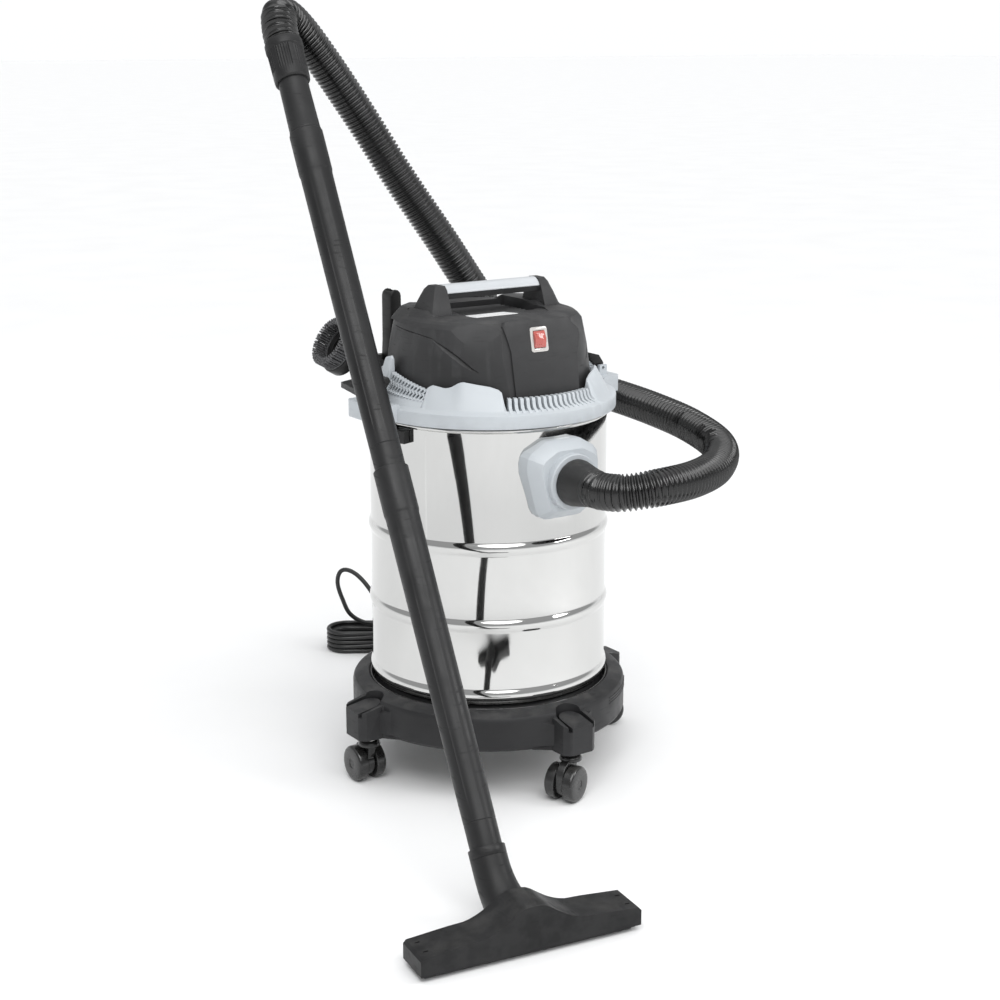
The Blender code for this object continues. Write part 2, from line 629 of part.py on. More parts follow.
def make_motor():
    """Motor, fan and the float cage with its filter, hung under the lid's deck."""
    plate_profile = [(0.0, DECK_Z + 0.0070), (0.112, DECK_Z + 0.0070), (0.112, DECK_Z + GAP), (0.0994, DECK_Z + GAP),
                     (0.0994, 0.509), (0.0, 0.509)]
    plate = turned("motor_plate", plate_profile, DARK_PLASTIC, steps=32)
    eye = rod("plate_eye", 0.026, 0.08, location=(0, 0, DECK_Z))
    cut(plate, eye)
    shell_profile = [(0.0, 0.6180), (0.020, 0.6180), (0.024, 0.6120), (MOTOR_R, 0.6040), (MOTOR_R + 0.002, 0.5560),
                     (0.068, 0.5500), (0.068, 0.5255), (0.0655, 0.5255), (0.0655, 0.5475), (0.030, 0.5475),
                     (0.030, 0.5530), (MOTOR_R - 0.003, 0.5560), (MOTOR_R - 0.003, 0.6010), (0.0, 0.6010)]
    motor = turned("motor_housing", shell_profile, ZINC, steps=24)
    vents = []
    for i in range(4):
        angle = math.radians(45 + 90 * i)
        place = (MOTOR_R * math.cos(angle), MOTOR_R * math.sin(angle), 0.580)
        vents.append(block("motor_vent_%d" % i, (0.020, 0.024, 0.026), location=place, rotation=(0, 0, angle)))
    cut(motor, *vents)
    rotor_profile = [(0.0, 0.5990), (0.0040, 0.5990), (0.0040, 0.5950), (0.030, 0.5940), (0.030, 0.5640),
                     (0.0040, 0.5630), (0.0040, 0.5420), (0.0, 0.5420)]
    turned("motor_rotor", rotor_profile, COPPER, steps=16)
    fan_profile = [(0.0, 0.5417), (0.062, 0.5417), (0.062, 0.5400), (0.020, 0.5400), (0.012, 0.5290), (0.0, 0.5290)]
    fan = turned("fan_impeller", fan_profile, ALUMINIUM, steps=24)
    for i in range(8):
        angle = math.radians(45 * i)
        place = (0.039 * math.cos(angle), 0.039 * math.sin(angle), 0.5370)
        blade = block("fan_blade_%d" % i, (0.040, 0.0016, 0.0080), location=place,
                      rotation=(0, 0, angle + math.radians(32)))
        fuse(fan, blade)


def make_float_and_filter():
    profile = [(0.0, 0.4255), (0.0325, 0.4265), (0.0335, 0.430), (0.0335, 0.5087), (0.0360, 0.5087),
               (0.0360, 0.428), (0.0330, 0.423), (0.0, 0.423)]
    cage = turned("float_cage", profile, DARK_PLASTIC, steps=24)
    for i in range(2):
        window = block("cage_window_%d" % i, (0.0800, 0.0240, 0.048), location=(0, 0, 0.470),
                       rotation=(0, 0, math.radians(90 * i)))
        cut(cage, window)
    turned("float_valve", [(0.0, 0.4560), (0.018, 0.4540), (0.026, 0.4470), (0.0285, 0.4390), (0.0285, 0.4305),
                           (0.0255, 0.4268), (0.0, 0.4268)], WHITE_PLASTIC, steps=24)
    turned("filter_sleeve", [(0.0, 0.4200), (0.0700, 0.4200), (0.0700, 0.4960), (0.0365, 0.4960),
                             (0.0365, 0.5085), (0.0790, 0.5085), (0.0790, 0.4150), (0.0, 0.4150)],
           FILTER_FABRIC, steps=24)
    turned("lid_gasket", [(0.1605, 0.5188), (0.1698, 0.5188), (0.1690, 0.5124), (0.1612, 0.5124)],
           BLACK_RUBBER, steps=40, closed=True)


def make_tool_holder():
    """Bracket behind the lid with two tool sockets, and the tools stored in it."""
    outline = [(-0.135, 0.1215), (-0.020, 0.1805), (-0.020, 0.203), (-0.078, 0.218), (-0.120, 0.200)]
    holder = slab("tool_holder", outline, 0.0080, DARK_PLASTIC, location=(0, 0, 0.5210))
    space = rod("holder_space", RIM_R + GAP, 0.1, location=(0, 0, 0.52), sides=96)
    socket = block("tool_socket", (0.0340, 0.0320, 0.050), location=(*TOOL_PLACE, 0.5050), bevel=0.004)
    socket_bore = block("tool_socket_bore", (0.0277, 0.0257, 0.2), location=(*TOOL_PLACE, 0.5350))
    peg_turn = Euler((0, math.radians(-60), 0))
    peg = rod("brush_peg", 0.0145, 0.060, location=(-0.066, 0.2045, 0.5450), rotation=peg_turn, sides=20)
    stand = block("brush_peg_stand", (0.022, 0.012, 0.040), location=(-0.056, 0.2060, 0.5380))
    fuse(holder, socket, stand, peg)
    cut(holder, space, socket_bore)
    tool_line = [(-0.0135, -0.1150), (0.0135, -0.1150), (0.0135, -0.020), (0.0095, 0.050), (0.0092, 0.1140)]
    tool_line += arc((0.0, 0.1140), 0.0092, 0, 180, 6)[1:]
    tool_line += [(-0.0095, 0.050), (-0.0135, -0.020)]
    tool = slab("crevice_tool", tool_line, 0.0250, BLACK_PLASTIC, location=(*TOOL_PLACE, 0.5300),
                rotation=ACROSS_Y)
    soften(tool, 0.003)
    mouth = block("crevice_mouth", (0.0110, 0.0170, 0.060), location=(*TOOL_PLACE, 0.6400))
    cut(tool, mouth)
    head_turn = (0, math.radians(-60), 0)
    brush_centre = (-0.1105, 0.2045, 0.5707)
    turned("round_brush", [(0.0150, 0.010), (0.0370, 0.010), (0.0390, 0.006), (0.0390, -0.006), (0.0300, -0.012),
                           (0.0185, -0.018), (0.0185, -0.044), (0.0150, -0.044)], BLACK_PLASTIC, steps=20,
           closed=True, location=brush_centre, rotation=head_turn)
    turned("round_brush_bristles", [(0.0240, 0.030), (0.0390, 0.030), (0.0365, 0.0103), (0.0265, 0.0103)],
           BRISTLE, steps=20, closed=True, location=brush_centre, rotation=head_turn)


# ---------------------------------------------------------------- hose, wand and nozzle
def make_wand():
    axis = make_empty("wand_axis", WAND_FOOT, WAND_TURN, MACHINE)
    wall = 0.0022
    seat = 0.040
    for i, name in enumerate(("wand_lower_tube", "wand_upper_tube")):
        low = i * TUBE_LENGTH + GAP
        high = (i + 1) * TUBE_LENGTH
        tip = low - (seat if i else 0.014)
        profile = [(0.0197, high), (TUBE_SOCKET_R, high), (TUBE_SOCKET_R, high - 0.058), (0.0214, high - 0.062),
                   (TUBE_TIP_R + 0.0002, low + 0.030), (TUBE_TIP_R, low), (TUBE_TIP_R, tip),
                   (TUBE_TIP_R - wall, tip), (TUBE_TIP_R - wall, high - 0.044), (0.0197, high - 0.042)]
        turned(name, profile, GREY_PLASTIC, steps=20, closed=True, parent=axis)
    low = 2 * TUBE_LENGTH + GAP
    spigot = [(0.0173, WAND_CUFF_START + 0.030), (0.0200, WAND_CUFF_START + 0.030), (0.0200, WAND_CUFF_START - 0.020),
              (0.0208, low + 0.004), (0.0208, low), (TUBE_TIP_R, low), (TUBE_TIP_R, low - seat),
              (TUBE_TIP_R - wall, low - seat)]
    turned("wand_spigot", spigot, GREY_PLASTIC, steps=20, closed=True, parent=axis)
    start, end = WAND_CUFF_START, WAND_CUFF_END
    cuff = [(0.0203, end), (0.0245, end), (0.0258, end - 0.003), (0.0258, end - 0.012), (0.0246, end - 0.014),
            (0.0237, start + 0.004), (0.0225, start), (0.0203, start)]
    turned("hose_wand_cuff", cuff, BLACK_RUBBER, steps=20, closed=True, parent=axis)
    return axis


def make_neck(wand_axis):
    """Elbow from the nozzle's swivel seam up into the wand: a ring-by-ring bend between two round ends."""
    nozzle_turn = Euler((0, 0, NOZZLE_TURN)).to_matrix()
    seam = Vector(NOZZLE_FOOT) + nozzle_turn @ Vector((0, NOZZLE_SEAM_Y + GAP, NOZZLE_PIVOT_Z))
    back = nozzle_turn @ Vector((0, 1, 0))
    up_wand = Euler(WAND_TURN).to_matrix() @ Vector((0, 0, 1))
    top = Vector(WAND_FOOT)
    path = geometry.interpolate_bezier(seam, seam + back * 0.020, top - up_wand * 0.046, top - up_wand * 0.017, 7)
    radii = (NOZZLE_SOCKET_R, 0.0268, 0.0262, 0.0252, 0.0240, 0.0230, 0.0224)
    tangents = [back] + [(b - a).normalized() for a, b in zip(path, path[2:])] + [up_wand]
    stations = list(zip(path, radii, tangents))
    stations += [(top - up_wand * 0.002, 0.0224, up_wand), (top, 0.0224, up_wand)]
    across = back.cross(up_wand).normalized()
    sides = 20
    inner_wall = 0.0023
    outer_rings = [ring_points(place, radius, tangent, across, sides) for place, radius, tangent in stations]
    inner_rings = [ring_points(place, min(radius - inner_wall, 0.0200), tangent, across, sides)
                   for place, radius, tangent in stations]
    rings = outer_rings + inner_rings[::-1]
    sections = [[ring[side] for ring in rings] for side in range(sides)]
    neck = loft_ring("nozzle_neck", sections, GREY_PLASTIC)
    return neck


def ring_points(centre, radius, tangent, across, sides):
    lift = across.cross(tangent).normalized()
    points = []
    for i in range(sides):
        angle = 2 * math.pi * i / sides
        points.append(centre + across * (radius * math.cos(angle)) + lift * (radius * math.sin(angle)))
    return points


def make_nozzle():
    axis = make_empty("nozzle_axis", NOZZLE_FOOT, (0, 0, NOZZLE_TURN), MACHINE)
    half = NOZZLE_LENGTH / 2
    low = 0.0075
    right = [(half, low), (half, 0.0265), (half - 0.004, 0.0305), (0.075, 0.0350), (0.044, 0.0370),
             (0.034, 0.0405), (0.026, 0.0490), (0.018, 0.0585), (0.009, 0.0620)]
    outline = right + [(-x, z) for x, z in reversed(right)]
    body = slab("floor_nozzle", outline, NOZZLE_DEPTH, NOZZLE_PLASTIC, location=(0, NOZZLE_DEPTH / 2, 0),
                rotation=ACROSS_Y, parent=axis)
    soften(body, 0.0025)
    stub_length = 0.030
    stub = rod("nozzle_stub", NOZZLE_SOCKET_R, stub_length, parent=axis, rotation=ACROSS_Y, sides=32,
               location=(0, NOZZLE_SEAM_Y - stub_length / 2, NOZZLE_PIVOT_Z))
    pocket = block("nozzle_pocket", (NOZZLE_LENGTH - 0.008, NOZZLE_DEPTH - 0.008, 0.050),
                   location=(0, NOZZLE_DEPTH / 2, 0.0005), parent=axis)
    duct = rod("nozzle_duct", 0.0190, 0.060, location=(0, NOZZLE_SEAM_Y - 0.022, NOZZLE_PIVOT_Z + 0.001),
               rotation=ACROSS_Y, sides=24, parent=axis)
    fuse(body, stub)
    cut(body, pocket, duct)
    insert = block("nozzle_insert", (NOZZLE_LENGTH - 0.010, NOZZLE_DEPTH - 0.010, 0.0085), NOZZLE_PLASTIC,
                   location=(0, NOZZLE_DEPTH / 2, 0.0080), parent=axis)
    mouth = block("nozzle_mouth", (NOZZLE_LENGTH - 0.030, 0.020, 0.04), location=(0, NOZZLE_DEPTH / 2, 0.008),
                  parent=axis)
    cut(insert, mouth)
    for name, depth_y in (("front", 0.0100), ("rear", NOZZLE_DEPTH - 0.0100)):
        block("brush_strip_" + name, (NOZZLE_LENGTH - 0.014, 0.0044, 0.0065), BRISTLE,
              location=(0, depth_y, 0.00325), parent=axis)
        groove = block("strip_groove_" + name, (NOZZLE_LENGTH - 0.0134, 0.0050, 0.0055),
                       location=(0, depth_y, 0.00405), parent=axis)
        cut(insert, groove)


def make_hose_and_cord():
    tube("suction_hose", laid_route(HOSE_ROUTE, 0.042), HOSE_R, HOSE_PLASTIC)
    turned("cord_gland", [(0.0038, 0.041), (0.0052, 0.041), (0.0058, 0.014), (0.0058, -0.006), (0.0038, -0.006)],
           BLACK_RUBBER, steps=16, closed=True, location=(GLAND_X, 0.1265, GLAND_Z), rotation=ACROSS_Y_OUT)
    tube("power_cord", laid_route(CORD_ROUTE, 0.020), CORD_R, BLACK_RUBBER)
    half = HANK_RUN / 2
    end_angle = 20
    end_x = half + HANK_HALF_WIDTH * math.cos(math.radians(end_angle))
    outline = arc((half, 0), HANK_HALF_WIDTH, -90, end_angle, 6) + [(end_x, HANK_HALF_WIDTH)]
    outline += arc((-half, 0), HANK_HALF_WIDTH, 90, 270, 8)
    slab("power_cord_hank", outline, HANK_HEIGHT, BLACK_RUBBER,
         location=(*HANK_CENTRE, HANK_HEIGHT / 2 + 0.0005), rotation=(0, 0, HANK_TURN))
    make_plug(end_x + GAP)


def make_plug(start):
    """Round two-pin plug at the hank's end, resting on its rim; start is where its strain relief begins."""
    along = Vector((math.cos(HANK_TURN), math.sin(HANK_TURN)))
    side = Vector((-along.y, along.x))
    lean = 0.0048 * math.sin(PLUG_TILT)
    place = Vector(HANK_CENTRE) + along * (start + lean) + side * HANK_LANE
    axis = make_empty("plug_axis", (place.x, place.y, PLUG_TAIL_Z),
                      (0, math.radians(90) - PLUG_TILT, HANK_TURN), MACHINE)
    profile = [(0.0, 0.064), (PLUG_R - 0.001, 0.064), (PLUG_R, 0.062), (PLUG_R, 0.040), (0.0140, 0.031),
               (0.0070, 0.026), (0.0048, 0.0), (0.0, 0.0)]
    plug = turned("power_plug", profile, BLACK_RUBBER, steps=20, parent=axis)
    for sign in (-1, 1):
        pin = rod("plug_pin_%d" % sign, 0.0024, 0.022, location=(0, sign * 0.0095, 0.0720), parent=axis, sides=10)
        fuse(plug, pin)


# ---------------------------------------------------------------- build
ACROSS_Y = (math.radians(90), 0, 0)
ACROSS_Y_OUT = (math.radians(-90), 0, 0)
ALONG_X = (math.radians(90), 0, math.radians(90))

clear_scene()
PARTS = make_collection("shop_vacuum")
CUTTERS = make_collection("cutters")
MACHINE = make_empty("machine", ORIGIN_SHIFT)

STEEL = make_finish("polished_steel", (0.67, 0.67, 0.66), 0.12, 1.0)
ZINC = make_finish("bright_zinc", (0.60, 0.60, 0.58), 0.30, 1.0)
ALUMINIUM = make_finish("cast_aluminium", (0.55, 0.56, 0.57), 0.40, 1.0)
COPPER = make_finish("motor_winding", (0.50, 0.22, 0.10), 0.45, 0.8)
PALE_PLASTIC = make_finish("pale_grey_plastic", (0.60, 0.64, 0.67), 0.40)
SILVER_PLASTIC = make_finish("silver_plastic", (0.67, 0.69, 0.71), 0.35)
GREY_PLASTIC = make_finish("charcoal_plastic", (0.061, 0.061, 0.061), 0.50)
NOZZLE_PLASTIC = make_finish("nozzle_plastic", (0.033, 0.033, 0.033), 0.50)
BLACK_PLASTIC = make_finish("black_plastic", (0.020, 0.020, 0.020), 0.45)
DARK_PLASTIC = make_finish("dark_grey_plastic", (0.075, 0.075, 0.075), 0.50)
WHEEL_PLASTIC = make_finish("wheel_plastic", (0.014, 0.014, 0.014), 0.30)
HOSE_PLASTIC = make_finish("hose_plastic", (0.012, 0.012, 0.012), 0.28)
BLACK_RUBBER = make_finish("black_rubber", (0.016, 0.016, 0.016), 0.45)
RED_PLASTIC = make_finish("red_lens", (0.60, 0.070, 0.055), 0.15)
CLEAR_PLASTIC = make_finish("clear_bezel", (0.80, 0.80, 0.80), 0.08)
WHITE_PLASTIC = make_finish("white_plastic", (0.80, 0.80, 0.78), 0.45)
FILTER_FABRIC = make_finish("filter_foam", (0.10, 0.11, 0.12), 0.90)
BRISTLE = make_finish("bristle", (0.10, 0.10, 0.10), 0.60)

make_drum()
make_dolly()
for caster_place, caster_angle in CASTER_ANGLES.items():
    make_caster(caster_place, caster_angle, CASTER_TURNS[caster_place])
make_inlet()
make_lid()
make_head_cover()
make_top_grille()
make_handle()
make_switch()
make_motor()
make_float_and_filter()
make_tool_holder()
make_neck(make_wand())
make_nozzle()
make_hose_and_cord()
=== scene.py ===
"""Looks of the wet and dry shop vacuum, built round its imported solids.

Pieces are modelled in the machine's own frame, round the drum's axis with the front towards -Y, and MACHINE
takes them to the row's frame, whose origin is the middle of the footprint.
"""
import random
from math import atan2, cos, degrees, pi, radians, sin, tan

import bmesh
import bpy
from mathutils import Euler, Matrix, Vector, geometry


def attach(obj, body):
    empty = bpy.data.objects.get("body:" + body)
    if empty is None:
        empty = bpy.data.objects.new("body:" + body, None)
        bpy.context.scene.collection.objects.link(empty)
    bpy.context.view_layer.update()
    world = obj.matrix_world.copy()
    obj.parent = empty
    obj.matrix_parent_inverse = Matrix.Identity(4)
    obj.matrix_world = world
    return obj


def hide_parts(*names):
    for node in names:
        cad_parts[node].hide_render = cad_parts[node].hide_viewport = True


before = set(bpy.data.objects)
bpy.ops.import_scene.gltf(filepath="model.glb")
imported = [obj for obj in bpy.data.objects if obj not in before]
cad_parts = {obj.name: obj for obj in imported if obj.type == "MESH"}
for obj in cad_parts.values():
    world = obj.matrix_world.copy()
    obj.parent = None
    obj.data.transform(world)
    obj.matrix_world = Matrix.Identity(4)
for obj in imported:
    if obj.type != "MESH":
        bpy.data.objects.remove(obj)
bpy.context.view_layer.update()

# ---------------------------------------------------------------- driving dimensions (metres)
MACHINE = Matrix.Translation((0.0975, 0.1555, 0.0))
GAP = 0.0003

DRUM_R = 0.165
DRUM_WALL = 0.0015
DRUM_BOTTOM_Z = 0.128
DRUM_TOP_Z = 0.512
BEADS_Z = (0.3485, 0.242, 0.1435)
BEAD_HALF = 0.0098
BEAD_PROUD = 0.0032

CASTER_RADIUS = 0.2
CASTER_ANGLES = {"front": -90.0, "right": 0.0, "rear": 90.0, "left": 180.0}
CASTER_TURNS = {"front": 204.0, "right": -35.0, "rear": 150.0, "left": 90.0}
WHEEL_R = 0.025
WHEEL_WIDTH = 0.0155
HOOD_THICKNESS = 0.0125
CASTER_TRAIL = 0.013
GROOVE_R = 0.0212
ISLAND_R = 0.0166
ISLAND_SLOPE = 0.17

INLET_Z = 0.442
INLET_BORE_R = 0.0265
INLET_FACE_Y = -0.203

RIM_R = 0.177
RIM_BOTTOM_Z = 0.513
DECK_Z = 0.518
CROWN_FOOT_Z = 0.536
LATCH_X = 0.184
LATCH_Z = 0.548
LATCH_HALF_WIDTH = 0.014
LATCH_BORE_R = 0.0023

HEAD_TOP_Z = 0.648
PANEL_TILT = radians(11.0)
WELL_FLOOR_Z = 0.628
SWITCH_PLACE = (0.0, -0.11804, 0.619)

WAND_FOOT = Vector((-0.2886, -0.4222, 0.0872))
WAND_TURN = (radians(-34.2), 0.0, radians(-8.0))
TUBE_LENGTH = 0.48
SOCKET_R = 0.02235
TIP_R = 0.0195
CUFF_START = 1.038
CUFF_END = 1.1

NOZZLE_FOOT = Vector((-0.299, -0.535, 0.0))
NOZZLE_TURN = radians(-8.2)
NOZZLE_LENGTH = 0.279
NOZZLE_DEPTH = 0.05
NOZZLE_PIVOT_Z = 0.0295
NOZZLE_SEAM_Y = 0.0545
NOZZLE_SOCKET_R = 0.027
BRUSH_Y = 0.01
STRIP_TUFTS = 118

HOSE_R = 0.0245
HOSE_PITCH = 0.0064
HOSE_ROUTE = (
    (0.0, -0.2473, 0.442), (0.0, -0.262, 0.442), (0.014, -0.29, 0.444),
    (0.053, -0.311, 0.45), (0.118, -0.304, 0.451), (0.18, -0.275, 0.454), (0.24, -0.21, 0.461),
    (0.257, -0.13, 0.474), (0.251, -0.05, 0.486), (0.242, 0.03, 0.494), (0.223, 0.106, 0.504),
    (0.18, 0.163, 0.53), (0.112, 0.187, 0.628), (0.05, 0.198, 0.72), (-0.008, 0.215, 0.808),
    (-0.06, 0.229, 0.892), (-0.114, 0.234, 0.968), (-0.158, 0.233, 1.019), (-0.19, 0.219, 1.034),
    (-0.20113, 0.20036, 1.01219), (-0.20254, 0.19034, 0.99731),
)

CORD_R = 0.0037
GLAND = (0.062, 0.1675, 0.58)
CORD_ROUTE = (
    (0.062, 0.1678, 0.58), (0.062, 0.178, 0.58), (0.064, 0.198, 0.574), (0.065, 0.21, 0.555),
    (0.063, 0.213, 0.52), (0.055, 0.213, 0.43), (0.045, 0.218, 0.34), (0.035, 0.228, 0.25),
    (0.028, 0.248, 0.17), (0.03, 0.285, 0.11), (0.045, 0.34, 0.078), (0.062, 0.4, 0.083),
    (0.0732, 0.457, 0.108), (0.064, 0.492, 0.132), (0.05, 0.513, 0.136), (0.044, 0.52, 0.115),
    (0.05, 0.5125, 0.082),
)
HANK_CENTRE = (0.1041, 0.4726)
HANK_TURN = radians(-34.0)
HANK_RUN = 0.125
HANK_PITCH = 0.0076
HANK_LANES = (0.0223, 0.0299)
HANK_LAYERS = 5
HANK_END = 0.0949
PLUG_R = 0.0185
PLUG_TILT = radians(10.0)
PLUG_TAIL_Z = 0.0118


OWN_FRAME = Matrix.Identity(4)
QUARTER = radians(90.0)
FORWARD = (QUARTER, 0, 0)


# ---------------------------------------------------------------- mesh helpers
def at(location=(0, 0, 0), rotation=(0, 0, 0), parent=MACHINE):
    return parent @ Matrix.LocRotScale(Vector(location), Euler(rotation), None)


def moved(x, y, z):
    return Matrix.Translation((x, y, z))


def tilted(x=0.0, y=0.0, z=0.0):
    """A turn by Euler angles in radians, as a 4 x 4 matrix."""
    return Euler((x, y, z)).to_matrix().to_4x4()


def to_mesh(work, place):
    bmesh.ops.recalc_face_normals(work, faces=work.faces)
    work.transform(place)
    mesh = bpy.data.meshes.new("shape")
    work.to_mesh(mesh)
    work.free()
    return mesh


def bridge(work, a, b):
    """Faces between two rings; a ring of one point is a pole."""
    count = max(len(a), len(b))
    for i in range(count):
        after = (i + 1) % count
        corners = [a[i % len(a)], a[after % len(a)], b[after % len(b)], b[i % len(b)]]
        unique = list(dict.fromkeys(corners))
        if len(unique) > 2:
            work.faces.new(unique)


def rings_mesh(rings, place=MACHINE, closed=False, caps=False):
    """Join rings of points into one skin."""
    work = bmesh.new()
    made = [[work.verts.new(point) for point in ring] for ring in rings]
    for a, b in zip(made, made[1:]):
        bridge(work, a, b)
    if closed:
        bridge(work, made[-1], made[0])
    if caps:
        work.faces.new(made[0])
        work.faces.new(made[-1])
    return to_mesh(work, place)


def lathe(profile, place=MACHINE, steps=96, closed=False, wave=None):
    """Turn (radius, height) points round Z. wave(angle, height) adds to the radius."""
    rings = []
    for radius, height in profile:
        if radius < 1e-6:
            rings.append([(0.0, 0.0, height)])
            continue
        ring = []
        for i in range(steps):
            angle = 2 * pi * i / steps
            reach = radius + (wave(angle, height) if wave else 0.0)
            ring.append((reach * cos(angle), reach * sin(angle), height))
        rings.append(ring)
    return rings_mesh(rings, place, closed)


def plate(outline, thickness, place=MACHINE):
    """Extrude (x, y) points along Z, centred on the place."""
    low = [(x, y, -thickness / 2) for x, y in outline]
    high = [(x, y, thickness / 2) for x, y in outline]
    return rings_mesh([low, high], place, caps=True)


def box(size, place=MACHINE):
    half_x, half_y = size[0] / 2, size[1] / 2
    return plate([(-half_x, -half_y), (half_x, -half_y), (half_x, half_y), (-half_x, half_y)], size[2], place)


def rod(radius, length, place=MACHINE, sides=32, far=None):
    far = radius if far is None else far
    return lathe([(0, -length / 2), (radius, -length / 2), (far, length / 2), (0, length / 2)], place, sides)


def hull(points, place=MACHINE):
    work = bmesh.new()
    for point in points:
        work.verts.new(point)
    result = bmesh.ops.convex_hull(work, input=work.verts)
    inner = {vertex for vertex in result["geom_interior"] if isinstance(vertex, bmesh.types.BMVert)}
    bmesh.ops.delete(work, geom=list(inner))
    bmesh.ops.dissolve_limit(work, angle_limit=0.01, verts=work.verts, edges=work.edges)
    return to_mesh(work, place)


def frames(path):
    """Tangents and turning-free side vectors along a path."""
    last = len(path) - 1
    tangents = [(path[min(i + 1, last)] - path[max(i - 1, 0)]).normalized() for i in range(last + 1)]
    side = tangents[0].orthogonal().normalized()
    sides = [side]
    for before, after in zip(tangents, tangents[1:]):
        side = before.rotation_difference(after) @ side
        side = (side - after * side.dot(after)).normalized()
        sides.append(side)
    return tangents, sides


def sweep(path, radii, count=16, place=MACHINE):
    """A round skin along a path, with a radius at every point, closed at both ends."""
    path = [Vector(point) for point in path]
    tangents, sides = frames(path)
    rings = []
    for centre, radius, tangent, side in zip(path, radii, tangents, sides):
        other = tangent.cross(side)
        rings.append([centre + (side * cos(2 * pi * i / count)
                                + other * sin(2 * pi * i / count)) * radius for i in range(count)])
    return rings_mesh([[path[0]]] + rings + [[path[-1]]], place)


def arc(centre, radius, start, end, steps):
    points = []
    for i in range(steps + 1):
        angle = radians(start + (end - start) * i / steps)
        points.append((centre[0] + radius * cos(angle), centre[1] + radius * sin(angle)))
    return points


def round_box(half_x, half_y, radius, steps=6):
    outline = []
    for sign_x, sign_y, start in ((1, 1, 0), (-1, 1, 90), (-1, -1, 180), (1, -1, 270)):
        centre = (sign_x * (half_x - radius), sign_y * (half_y - radius))
        outline += arc(centre, radius, start, start + 90, steps)
    return outline


def spaced(points, spacing):
    """Read evenly spaced points off a smooth curve through the given ones."""
    places = [Vector(point) for point in points]
    fine = []
    for i in range(len(places) - 1):
        before = places[max(i - 1, 0)]
        after = places[min(i + 2, len(places) - 1)]
        start, end = places[i], places[i + 1]
        reach = (end - start).length / 3
        lead = (end - before).normalized() * reach
        trail = (after - start).normalized() * reach
        bezier = geometry.interpolate_bezier(start, start + lead, end - trail, end, 24)
        fine += bezier if i == 0 else bezier[1:]
    total = sum((b - a).length for a, b in zip(fine, fine[1:]))
    count = round(total / spacing)
    route = [fine[0]]
    travelled = 0.0
    for a, b in zip(fine, fine[1:]):
        length = (b - a).length
        while len(route) < count and travelled + length >= total / count * len(route):
            route.append(a.lerp(b, (total / count * len(route) - travelled) / length))
        travelled += length
    return route + [fine[-1]]


def linked(name, data):
    """A new object in the scene."""
    item = bpy.data.objects.new(name, data)
    bpy.context.scene.collection.objects.link(item)
    return item


def finished(item):
    """The mesh of an item with its modifiers applied; the item goes."""
    bpy.context.view_layer.update()
    graph = bpy.context.evaluated_depsgraph_get()
    mesh = bpy.data.meshes.new_from_object(item.evaluated_get(graph))
    bpy.data.objects.remove(item, do_unlink=True)
    return mesh


def rounded(item, width, rounds, angle):
    bevel = item.modifiers.new("edges", "BEVEL")
    bevel.width = width
    bevel.segments = rounds
    bevel.limit_method = "ANGLE"
    bevel.angle_limit = radians(angle)
    return bevel


def solid(base, tools, operation="DIFFERENCE"):
    """Cut tools out of a mesh, or fuse them to it, one after the other."""
    item = linked("work", base)
    helpers = [linked("work", tool) for tool in tools]
    for helper in helpers:
        modifier = item.modifiers.new("boolean", "BOOLEAN")
        modifier.operation = operation
        modifier.solver = "EXACT"
        modifier.object = helper
    mesh = finished(item)
    for helper in helpers:
        bpy.data.objects.remove(helper, do_unlink=True)
    return mesh


def eased(mesh, width, rounds, angle):
    """The mesh with its edges rounded; the fine cuts come after, so that they don't limit the rounding."""
    item = linked("work", mesh)
    rounded(item, width, rounds, angle)
    return finished(item)


def joined(meshes):
    work = bmesh.new()
    for mesh in meshes:
        work.from_mesh(mesh)
    return to_mesh(work, OWN_FRAME)


def piece(name, meshes, look, body, *nodes, edge=0.0, rounds=2, angle=35.0, edge_angle=35.0):
    """A visible piece on a body, in place of some CAD nodes, with its edges rounded."""
    mesh = joined(meshes if isinstance(meshes, list) else [meshes])
    item = linked(name, mesh)
    mesh.materials.append(look)
    mesh.shade_smooth()
    if edge > 0.0:
        rounded(item, edge, rounds, edge_angle).harden_normals = True
    else:
        mesh.set_sharp_from_angle(angle=radians(angle))
    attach(item, body)
    if nodes:
        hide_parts(*nodes)
    return item


def refined(node, look, body, edge, rounds=2):
    """A CAD node's own shape, cleaned of its triangles and given rounded edges."""
    work = bmesh.new()
    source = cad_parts[node]
    work.from_mesh(source.data)
    work.transform(source.matrix_world)
    bmesh.ops.remove_doubles(work, verts=work.verts, dist=0.000002)
    bmesh.ops.dissolve_limit(work, angle_limit=radians(1.0), verts=work.verts, edges=work.edges)
    return piece(node + "_shape", to_mesh(work, OWN_FRAME), look, body, node, edge=edge, rounds=rounds)


